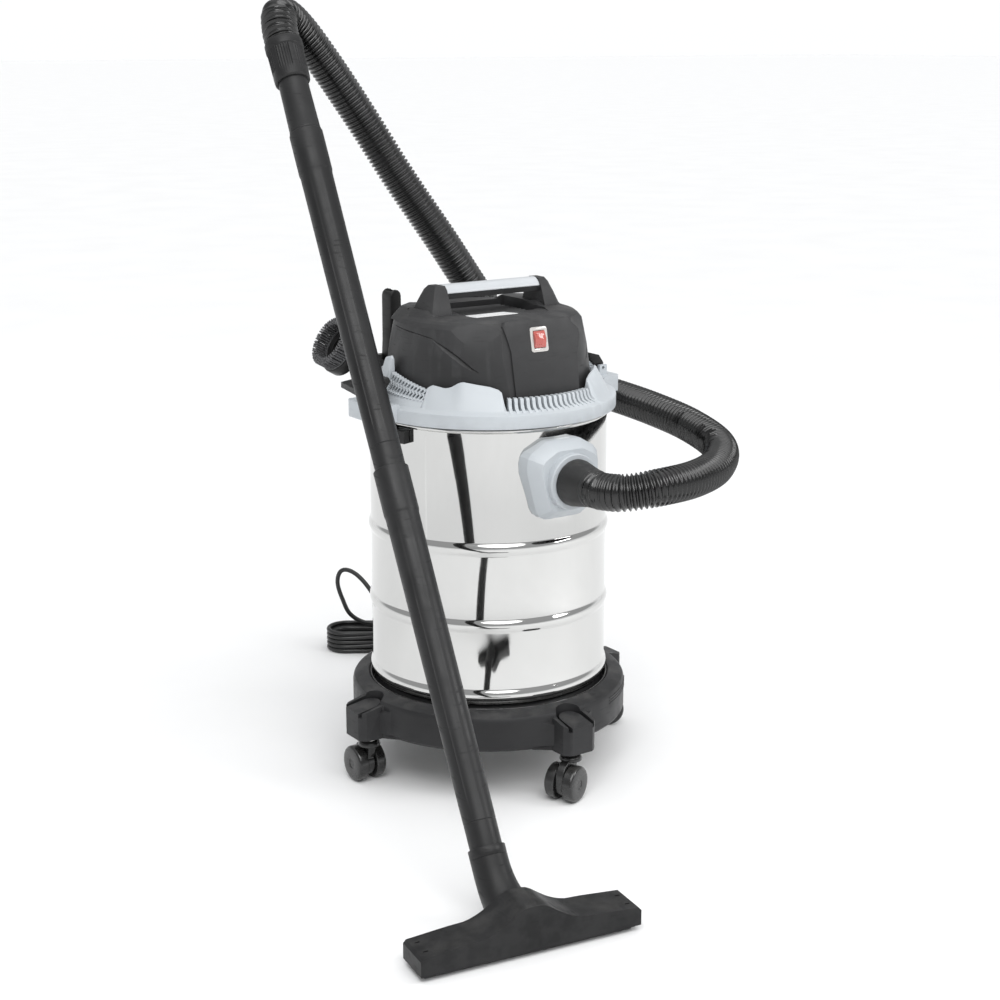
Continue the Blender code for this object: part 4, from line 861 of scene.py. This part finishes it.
def handle_post(sign):
    """A handle post: it narrows upwards on all sides, with its outer front corner taken off."""
    levels = ((0.64, 0.0755, 0.106, 0.0285, 0.006), (0.648, 0.076, 0.104, 0.0276, 0.0062),
              (0.664, 0.076, 0.0985, 0.0218, 0.0062), (0.678, 0.076, 0.093, 0.0158, 0.0058),
              (0.6835, 0.0765, 0.089, 0.0112, 0.004))
    rings = []
    for height, inner, outer, half, chamfer in levels:
        rings.append([(sign * x, y, height) for x, y in
                      ((inner, -half), (outer - chamfer, -half), (outer, chamfer * 0.9 - half), (outer, half),
                       (inner, half))])
    return rings_mesh(rings, caps=True)


def make_handle():
    along_x = (QUARTER, 0, QUARTER)
    bar = plate([(-0.0125, -0.006), (0.0125, -0.006), (0.0145, 0.001), (-0.0145, 0.001)], 0.16,
                at((0, 0, 0.6715), along_x))
    handle = solid(bar, [handle_post(-1), handle_post(1)], "UNION")
    piece("handle_shell", handle, CHARCOAL, "head", "handle_bar", edge=0.0016, rounds=3, edge_angle=20)
    cap = [(-0.015, -0.005), (0.015, -0.005)] + arc((0.0, -0.01), 0.0165, 25, 155, 16)
    piece("handle_cap_shell", plate(cap, 0.153, at((0, 0, 0.6778), along_x)), SILVER, "head", "handle_cap",
          edge=0.001, rounds=3, edge_angle=30)


def make_switch():
    panel = at(SWITCH_PLACE, (-PANEL_TILT, 0, 0))
    refined("switch_bezel", BEZEL, "head", 0.0006, 3)
    refined("switch_rocker", RED, "switch", 0.0006, 3)
    ribs = []
    for i in range(3):
        ribs.append(box((0.0007, 0.001, 0.015), panel @ moved(-0.0052 + i * 0.003, -0.0058, 0.0)))
    piece("switch_rocker_ribs", ribs, RED, "switch", edge=0.0002)


# ---------------------------------------------------------------- wand and nozzle
WAND = at(WAND_FOOT, WAND_TURN)
STRIP_ANGLES = (-137.0, -95.0)


def strip_wave(low, high):
    """A shallow step along one side of a tube, between two heights."""
    def wave(angle, height):
        turn = degrees(angle) - 360.0
        inside = STRIP_ANGLES[0] < turn < STRIP_ANGLES[1] and low <= height <= high
        return -0.0005 if inside else 0.0
    return wave


def make_wand():
    wall = 0.0022
    for i, name in enumerate(("wand_lower_tube", "wand_upper_tube")):
        low = i * TUBE_LENGTH + GAP
        high = (i + 1) * TUBE_LENGTH
        tip = low - (0.04 if i else 0.014)
        profile = [(0.0197, high), (SOCKET_R - 0.0008, high), (SOCKET_R, high - 0.001),
                   (SOCKET_R, high - 0.0575), (SOCKET_R - 0.0003, high - 0.06), (0.0216, high - 0.0616),
                   (0.0214, high - 0.063)]
        taper_top = (0.0213, high - 0.0632)
        taper_foot = (TIP_R + 0.0003, low + 0.0316)
        for k in range(1, 24):
            profile.append(tuple(a + (b - a) * k / 24 for a, b in zip(taper_top, taper_foot)))
        profile += [(TIP_R + 0.0002, low + 0.0312), (TIP_R - 0.0003, low + 0.0304),
                    (TIP_R + 0.0002, low + 0.0296), (TIP_R, low), (TIP_R, tip), (TIP_R - wall, tip),
                    (TIP_R - wall, high - 0.044), (0.0197, high - 0.042)]
        tube = lathe(profile, WAND, 96, closed=True, wave=strip_wave(low + 0.034, high - 0.066))
        piece(name + "_shell", tube, TUBE_GREY, "drum_and_wand", name, angle=24)
    low = 2 * TUBE_LENGTH + GAP
    spigot = [(0.0173, CUFF_START + 0.03), (0.02, CUFF_START + 0.03), (0.02, CUFF_START - 0.02),
              (0.0207, low + 0.0045), (0.0211, low + 0.0035), (0.0211, low + 0.0006), (0.0207, low),
              (TIP_R, low), (TIP_R, low - 0.04), (TIP_R - wall, low - 0.04)]
    spigot_mesh = lathe(spigot, WAND, 96, closed=True)
    piece("wand_spigot_shell", spigot_mesh, TUBE_GREY, "drum_and_wand", "wand_spigot")

    def flutes(angle, height):
        if not CUFF_START + 0.016 < height < CUFF_END - 0.0145:
            return 0.0
        group = 0.5 + 0.5 * cos(angle * 6)
        return -0.0009 * (0.5 - 0.5 * cos(angle * 42)) * (1.0 if group > 0.18 else 0.0)

    profile = [(0.0203, CUFF_END), (0.0238, CUFF_END), (0.025, CUFF_END - 0.0006),
               (0.0258, CUFF_END - 0.0022), (0.0258, CUFF_END - 0.012), (0.0254, CUFF_END - 0.013),
               (0.0247, CUFF_END - 0.0138), (0.0247, CUFF_END - 0.015), (0.0245, CUFF_END - 0.023),
               (0.0242, CUFF_START + 0.0165), (0.0242, CUFF_START + 0.015), (0.024, CUFF_START + 0.005),
               (0.0236, CUFF_START + 0.0012), (0.0226, CUFF_START), (0.0203, CUFF_START)]
    piece("wand_cuff_shell", lathe(profile, WAND, 252, closed=True, wave=flutes), TUBE_GREY, "drum_and_wand",
          "hose_wand_cuff")


def make_neck():
    turn = Euler((0, 0, NOZZLE_TURN)).to_matrix()
    seam = NOZZLE_FOOT + turn @ Vector((0, NOZZLE_SEAM_Y + GAP, NOZZLE_PIVOT_Z))
    back = turn @ Vector((0, 1, 0))
    up_wand = Euler(WAND_TURN).to_matrix() @ Vector((0, 0, 1))
    top = WAND_FOOT
    leave, arrive = seam + back * 0.02, top - up_wand * 0.046
    path = geometry.interpolate_bezier(seam, leave, arrive, top - up_wand * 0.017, 30)
    across = back.cross(up_wand).normalized()
    stations = []
    for i, point in enumerate(path):
        t = i / (len(path) - 1)
        ahead = path[min(i + 1, len(path) - 1)] - path[max(i - 1, 0)]
        radius = NOZZLE_SOCKET_R - 0.0046 * (t * t * (3 - 2 * t))
        stations.append((point, radius, ahead.normalized()))
    stations[0] = (seam, NOZZLE_SOCKET_R - 0.0008, back)
    lip = ((0.0006, 0.0), (0.0026, 0.0), (0.003, 0.0006))
    stations[1:1] = [(seam + back * reach, NOZZLE_SOCKET_R - drop, back) for reach, drop in lip]
    stations = [s for i, s in enumerate(stations) if i < 4 or (s[0] - seam).dot(back) > 0.0035]
    stations += [(top - up_wand * 0.012, 0.0224, up_wand), (top - up_wand * 0.0116, 0.0219, up_wand),
                 (top - up_wand * 0.0108, 0.0224, up_wand), (top - up_wand * 0.0008, 0.0224, up_wand),
                 (top, 0.0218, up_wand)]
    sides = 72
    rings = []
    for inside in (False, True):
        row = []
        for centre, radius, tangent in stations:
            lift = across.cross(tangent).normalized()
            reach = min(radius - 0.0023, 0.02) if inside else radius
            row.append([centre + across * (reach * cos(2 * pi * i / sides))
                        + lift * (reach * sin(2 * pi * i / sides)) for i in range(sides)])
        rings += row[::-1] if inside else row
    piece("neck_shell", rings_mesh(rings, closed=True), TUBE_GREY, "drum_and_wand", "nozzle_neck", angle=40)


def make_nozzle():
    nozzle = at(NOZZLE_FOOT, (0, 0, NOZZLE_TURN))
    half = NOZZLE_LENGTH / 2
    upright = tilted(QUARTER)
    brush_ys = (BRUSH_Y, NOZZLE_DEPTH - BRUSH_Y)
    hump = [(0.018 + 0.056 * (1 - t) ** 1.6, 0.0345 + 0.024 * (t * t * (3 - 2 * t)))
            for t in [i / 10 for i in range(1, 11)]]
    right = [(half, 0.0075), (half, 0.0262), (half - 0.0035, 0.03), (0.086, 0.0342)] + hump
    right += [(0.0135, 0.0607), (0.007, 0.062)]
    outline = right + [(-x, z) for x, z in reversed(right)]
    body = plate(outline, NOZZLE_DEPTH, nozzle @ moved(0, NOZZLE_DEPTH / 2, 0) @ upright)
    stub = rod(NOZZLE_SOCKET_R, 0.03, nozzle @ moved(0, NOZZLE_SEAM_Y - 0.015, NOZZLE_PIVOT_Z)
               @ upright, 72)
    body = solid(body, [stub], "UNION")
    cuts = [box((NOZZLE_LENGTH - 0.008, NOZZLE_DEPTH - 0.008, 0.05),
                nozzle @ moved(0, NOZZLE_DEPTH / 2, 0.0005)),
            rod(0.019, 0.06, nozzle @ moved(0, NOZZLE_SEAM_Y - 0.022, 0.0305) @ upright, 48)]
    for sign in (-1, 1):
        for depth_y in (0.0135, NOZZLE_DEPTH - 0.0135):
            cuts.append(box((0.006, 0.0026, 0.004),
                            nozzle @ moved(sign * (half - 0.0115), depth_y, 0.0315)))
    body = solid(body, cuts)
    piece("nozzle_shell", body, NOZZLE_BLACK, "nozzle", "floor_nozzle", edge=0.0014, rounds=3, edge_angle=30)
    insert = box((NOZZLE_LENGTH - 0.01, NOZZLE_DEPTH - 0.01, 0.0085),
                 nozzle @ moved(0, NOZZLE_DEPTH / 2, 0.008))
    mouth = [box((NOZZLE_LENGTH - 0.03, 0.02, 0.04), nozzle @ moved(0, NOZZLE_DEPTH / 2, 0.008))]
    for depth_y in brush_ys:
        mouth.append(box((NOZZLE_LENGTH - 0.0134, 0.005, 0.0055), nozzle @ moved(0, depth_y, 0.00405)))
    for i in range(8):
        for depth_y in (0.0042, NOZZLE_DEPTH - 0.0042):
            mouth.append(box((0.006, 0.006, 0.0052),
                             nozzle @ moved(-0.1155 + i * 0.033, depth_y, 0.005)))
    piece("nozzle_insert_shell", solid(insert, mouth), BLACK, "nozzle", "nozzle_insert", edge=0.0005)
    random.seed(4)
    reach = NOZZLE_LENGTH - 0.018
    for side, depth_y in zip(("front", "rear"), brush_ys):
        tufts = [box((NOZZLE_LENGTH - 0.0142, 0.0042, 0.0024), nozzle @ moved(0, depth_y, 0.0053))]
        for i in range(STRIP_TUFTS):
            x = -reach / 2 + i * reach / (STRIP_TUFTS - 1)
            lean = random.uniform(-0.05, 0.05)
            tufts.append(rod(0.001, 0.005, nozzle @ moved(x, depth_y, 0.0026) @ tilted(lean, lean), 6,
                             far=0.0013))
        piece("nozzle_bristles_" + side, tufts, BRISTLE, "nozzle", "brush_strip_" + side)


# ---------------------------------------------------------------- tools behind the head
def make_tools():
    refined("tool_holder", DARK, "head", 0.001)
    refined("crevice_tool", BLACK, "head", 0.0008)
    refined("motor_plate", DARK, "head", 0.0006)
    refined("float_cage", DARK, "head", 0.0004)
    brush = at((-0.1105, 0.2045, 0.5707), (0, radians(-60), 0))
    profile = [(0.015, 0.01), (0.0372, 0.01), (0.0384, 0.0092), (0.039, 0.0074), (0.039, -0.005),
               (0.0382, -0.0068), (0.034, -0.01), (0.025, -0.0142), (0.02, -0.0172), (0.0185, -0.02),
               (0.0185, -0.042), (0.0178, -0.0434), (0.0165, -0.044), (0.015, -0.044)]
    piece("round_brush_shell", lathe(profile, brush, 96, closed=True), BLACK, "head", "round_brush")
    random.seed(9)
    backing = [(0.0262, 0.0118), (0.0366, 0.0118), (0.0366, 0.0103), (0.0262, 0.0103)]
    tufts = [lathe(backing, brush, 64, closed=True)]
    for ring_r, count in ((0.0278, 44), (0.0305, 50), (0.0332, 54), (0.0356, 58)):
        for i in range(count):
            angle = 2 * pi * (i + random.uniform(-0.2, 0.2)) / count
            flare = (ring_r - 0.031) * 5.0 + random.uniform(-0.04, 0.04)
            root = moved(ring_r * cos(angle), ring_r * sin(angle), 0.0203)
            place = brush @ root @ tilted(0, flare * 0.35, angle)
            tufts.append(rod(0.0011, 0.019, place, 6, far=0.0014))
    piece("round_brush_tufts", tufts, BRISTLE, "head", "round_brush_bristles")


# ---------------------------------------------------------------- hose and cord
def make_hose():
    """The corrugated hose: one ridge to each pitch along its route."""
    smooth = spaced(HOSE_ROUTE, HOSE_PITCH / 6)
    ridge = (1.0, 0.92, 0.35, 0.0, 0.0, 0.45)
    radii = []
    for i in range(len(smooth)):
        radii.append(HOSE_R - 0.0036 * (1 - ridge[i % 6]))
    hose = piece("hose_shell", sweep(smooth, radii, 40), HOSE, "drum_and_wand", "suction_hose", angle=80)


def hank_path():
    """The tied turns, in the hank's own frame: runs along X, folds at both ends, layers from the top down."""
    half = HANK_RUN / 2
    base_z = CORD_R + 0.0005
    slots = []
    for layer in range(HANK_LAYERS - 1, -1, -1):
        lanes = HANK_LANES if (HANK_LAYERS - 1 - layer) % 2 == 0 else HANK_LANES[::-1]
        slots += [(lane, base_z + layer * HANK_PITCH) for lane in lanes]
    points = []
    for i, (lane, height) in enumerate(slots):
        start = 0.0 if i == 0 else -half
        for k in range(6):
            x = start + (half - start) * k / 6
            points.append((x, lane, height))
        if i == len(slots) - 1:
            break
        for k in range(12):
            angle = radians(90 - 15 * k)
            points.append((half + lane * cos(angle), lane * sin(angle), height))
        next_lane, next_height = slots[i + 1]
        for k in range(8):
            t = k / 8
            ease = t * t * (3 - 2 * t)
            points.append((half - HANK_RUN * t, -(lane + (next_lane - lane) * ease),
                           height + (next_height - height) * ease))
        for k in range(12):
            angle = radians(-90 - 15 * k)
            points.append((-half + next_lane * cos(angle), next_lane * sin(angle), next_height))
    lane, height = slots[-1]
    slope = tan(PLUG_TILT)
    points += [(half - 0.004, lane, height), (half + 0.01, lane, height + 0.001),
               (HANK_END - 0.012, lane, PLUG_TAIL_Z - 0.012 * slope), (HANK_END, lane, PLUG_TAIL_Z),
               (HANK_END + 0.01, lane, PLUG_TAIL_Z + 0.01 * slope)]
    return points


def ridges(count, top, pitch, radius, change, depth, drops):
    """The ridges of a strain relief as (radius, height) points, going down."""
    points = []
    for k in range(count):
        outer = radius + k * change
        height = top - k * pitch
        points += [(outer, height), (outer, height - drops[0]), (outer - depth, height - drops[1]),
                   (outer - depth, height - drops[2])]
    return points


def make_cord():
    hank = Matrix.LocRotScale(Vector((*HANK_CENTRE, 0)), Euler((0, 0, HANK_TURN)), None)
    turns = [hank @ Vector(point) for point in hank_path()]
    entry = [hank @ Vector((-0.056, 0.01, 0.056)), hank @ Vector((-0.033, 0.019, 0.0385))]
    route = [Vector(point) for point in CORD_ROUTE] + entry + turns
    smooth = spaced(route, 0.004)
    cord = piece("cord_sheath_run", sweep(smooth, [CORD_R] * len(smooth), 14), CORD, "head", "power_cord",
                 "power_cord_hank", angle=80)
    band_height = HANK_LAYERS * HANK_PITCH + 0.0006
    outline = round_box(HANK_LANES[1] + CORD_R + 0.0009, band_height / 2 + 0.0005, 0.006, 6)
    inner = round_box(HANK_LANES[1] + CORD_R + 0.0001, band_height / 2 - 0.0003, 0.0052, 6)
    tie_place = MACHINE @ hank @ moved(0, 0, band_height / 2 + 0.0009) @ tilted(QUARTER, 0, QUARTER)
    tie = solid(plate(outline, 0.014, tie_place), [plate(inner, 0.02, tie_place)])
    tie_piece = piece("cord_tie", tie, RUBBER, "head", edge=0.0003)
    along = Vector((cos(HANK_TURN), sin(HANK_TURN)))
    side = Vector((-along.y, along.x))
    start = Vector(HANK_CENTRE) + along * (HANK_END + 0.0011) + side * HANK_LANES[1]
    tail = at((start.x, start.y, PLUG_TAIL_Z), (0, QUARTER - PLUG_TILT, HANK_TURN))
    profile = [(0.0, 0.064), (PLUG_R - 0.0024, 0.064), (PLUG_R - 0.0008, 0.0632), (PLUG_R, 0.0615),
               (PLUG_R, 0.043), (PLUG_R - 0.0008, 0.0405), (0.016, 0.036), (0.0135, 0.031), (0.0098, 0.0275),
               (0.0074, 0.0255)]
    profile += ridges(6, 0.0245, 0.004, 0.007, -0.0004, 0.0012, (0.0022, 0.0026, 0.0036))
    profile += [(0.0046, 0.0006), (0.004, 0.0), (0.0, 0.0)]
    shapes = [lathe(profile, tail, 64)]
    pin = [(0.0, 0.083), (0.0014, 0.0828), (0.0024, 0.0812), (0.0024, 0.064), (0.0, 0.064)]
    for sign in (-1, 1):
        shapes.append(lathe(pin, tail @ moved(0, sign * 0.0095, 0), 24))
    plug = piece("plug_body", shapes[:1], RUBBER, "head", "power_plug")
    pins = piece("plug_pins", shapes[1:], ZINC, "head")
    outward = at((GLAND[0], 0.1265, GLAND[2]), (radians(-90), 0, 0))
    gland = [(0.0038, 0.041), (0.0046, 0.041), (0.005, 0.0404)]
    gland += ridges(8, 0.0398, 0.0032, 0.005, 0.00012, 0.0009, (0.0018, 0.0021, 0.0029))
    gland += [(0.0058, 0.0138), (0.0058, -0.006), (0.0038, -0.006)]
    piece("gland_boot", lathe(gland, outward, 48, closed=True), RUBBER, "head", "cord_gland")


# ---------------------------------------------------------------- solids that keep their shape
def dress_nodes():
    dressed = {"motor_housing": ZINC, "motor_rotor": COPPER, "fan_impeller": CASTING, "float_valve": WHITE,
               "filter_sleeve": FOAM, "lid_gasket": RUBBER, "latch_pin_left": ZINC, "latch_pin_right": ZINC}
    for node, look in dressed.items():
        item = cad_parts[node]
        for slot in item.material_slots:
            slot.material = look


# ---------------------------------------------------------------- camera, floor and light
CAMERA_PLACE = (-1.2703, -1.8723, 1.008)
CAMERA_FORWARD = (0.5468, 0.7989, -0.2506)
CAMERA_LENS = 64.7
FLOOR_SIZE = 70.0
SUN_DIRECTION = (0.25, 0.75, -1.0)
LIGHT_TARGET = (0.1, 0.15, 0.4)


def aimed(item, direction):
    item.rotation_euler = Vector(direction).to_track_quat("-Z", "Y").to_euler()


def make_camera():
    data = bpy.data.cameras.new("camera")
    data.lens = CAMERA_LENS
    data.sensor_width = 36.0
    camera = linked("camera", data)
    camera.location = CAMERA_PLACE
    aimed(camera, CAMERA_FORWARD)
    bpy.context.scene.camera = camera


def make_floor():
    shader = Shader("pale_floor", 0.7)
    shade = shader.span(shader.noise(3.0), 0.3, 0.7, 0.0, 1.0)
    shader.colour(shader.mix(shade, rgb((0.86, 0.86, 0.86)), rgb((0.89, 0.89, 0.89))))
    shader.bump(shader.noise(180.0), 0.05, 0.001)
    work = bmesh.new()
    bmesh.ops.create_grid(work, x_segments=4, y_segments=4, size=FLOOR_SIZE)
    mesh = to_mesh(work, moved(0, 0, -0.0002))
    mesh.materials.append(shader.material)
    linked("floor", mesh)


def make_world():
    """A white room: bright overhead and at the horizon, dimmer in between to shape the dark plastics."""
    world = bpy.data.worlds.new("studio")
    world.use_nodes = True
    tree = world.node_tree
    background = tree.nodes["Background"]
    background.inputs["Color"].default_value = (0.98, 0.99, 1.0, 1.0)
    place = tree.nodes.new("ShaderNodeTexCoord")
    split = tree.nodes.new("ShaderNodeSeparateXYZ")
    ramp = tree.nodes.new("ShaderNodeValToRGB")
    stops = ramp.color_ramp.elements
    stops[0].color = rgb((1.02, 1.02, 1.02))
    stops[1].color = rgb((1.15, 1.15, 1.15))
    for position, value in ((0.06, 1.04), (0.16, 0.42), (0.55, 0.45), (0.8, 1.1)):
        stops.new(position).color = rgb((value, value, value))
    tree.links.new(place.outputs["Generated"], split.inputs[0])
    tree.links.new(split.outputs["Z"], ramp.inputs[0])
    tree.links.new(ramp.outputs["Color"], background.inputs["Strength"])
    bpy.context.scene.world = world
    bpy.context.scene.view_settings.view_transform = "Standard"


def make_lights():
    sun = bpy.data.lights.new("soft_sun", "SUN")
    sun.energy = 1.5
    sun.angle = radians(50)
    aimed(linked("soft_sun", sun), SUN_DIRECTION)
    for name, location, size, energy in (("key", (-1.5, -1.2, 2.4), 0.9, 11.0),
                                         ("side", (1.6, -1.6, 1.5), 0.8, 15.0)):
        lamp = bpy.data.lights.new(name, "AREA")
        lamp.size = size
        lamp.energy = energy
        item = linked(name, lamp)
        item.location = location
        aimed(item, Vector(LIGHT_TARGET) - Vector(location))


make_camera()
make_floor()
make_world()
make_lights()
make_hose()
make_cord()
make_drum()
make_dolly()
for caster_place, caster_angle in CASTER_ANGLES.items():
    make_caster(caster_place, caster_angle, CASTER_TURNS[caster_place])
make_inlet()
make_lid()
make_cover()
make_handle()
make_switch()
make_wand()
make_neck()
make_nozzle()
make_tools()
dress_nodes()
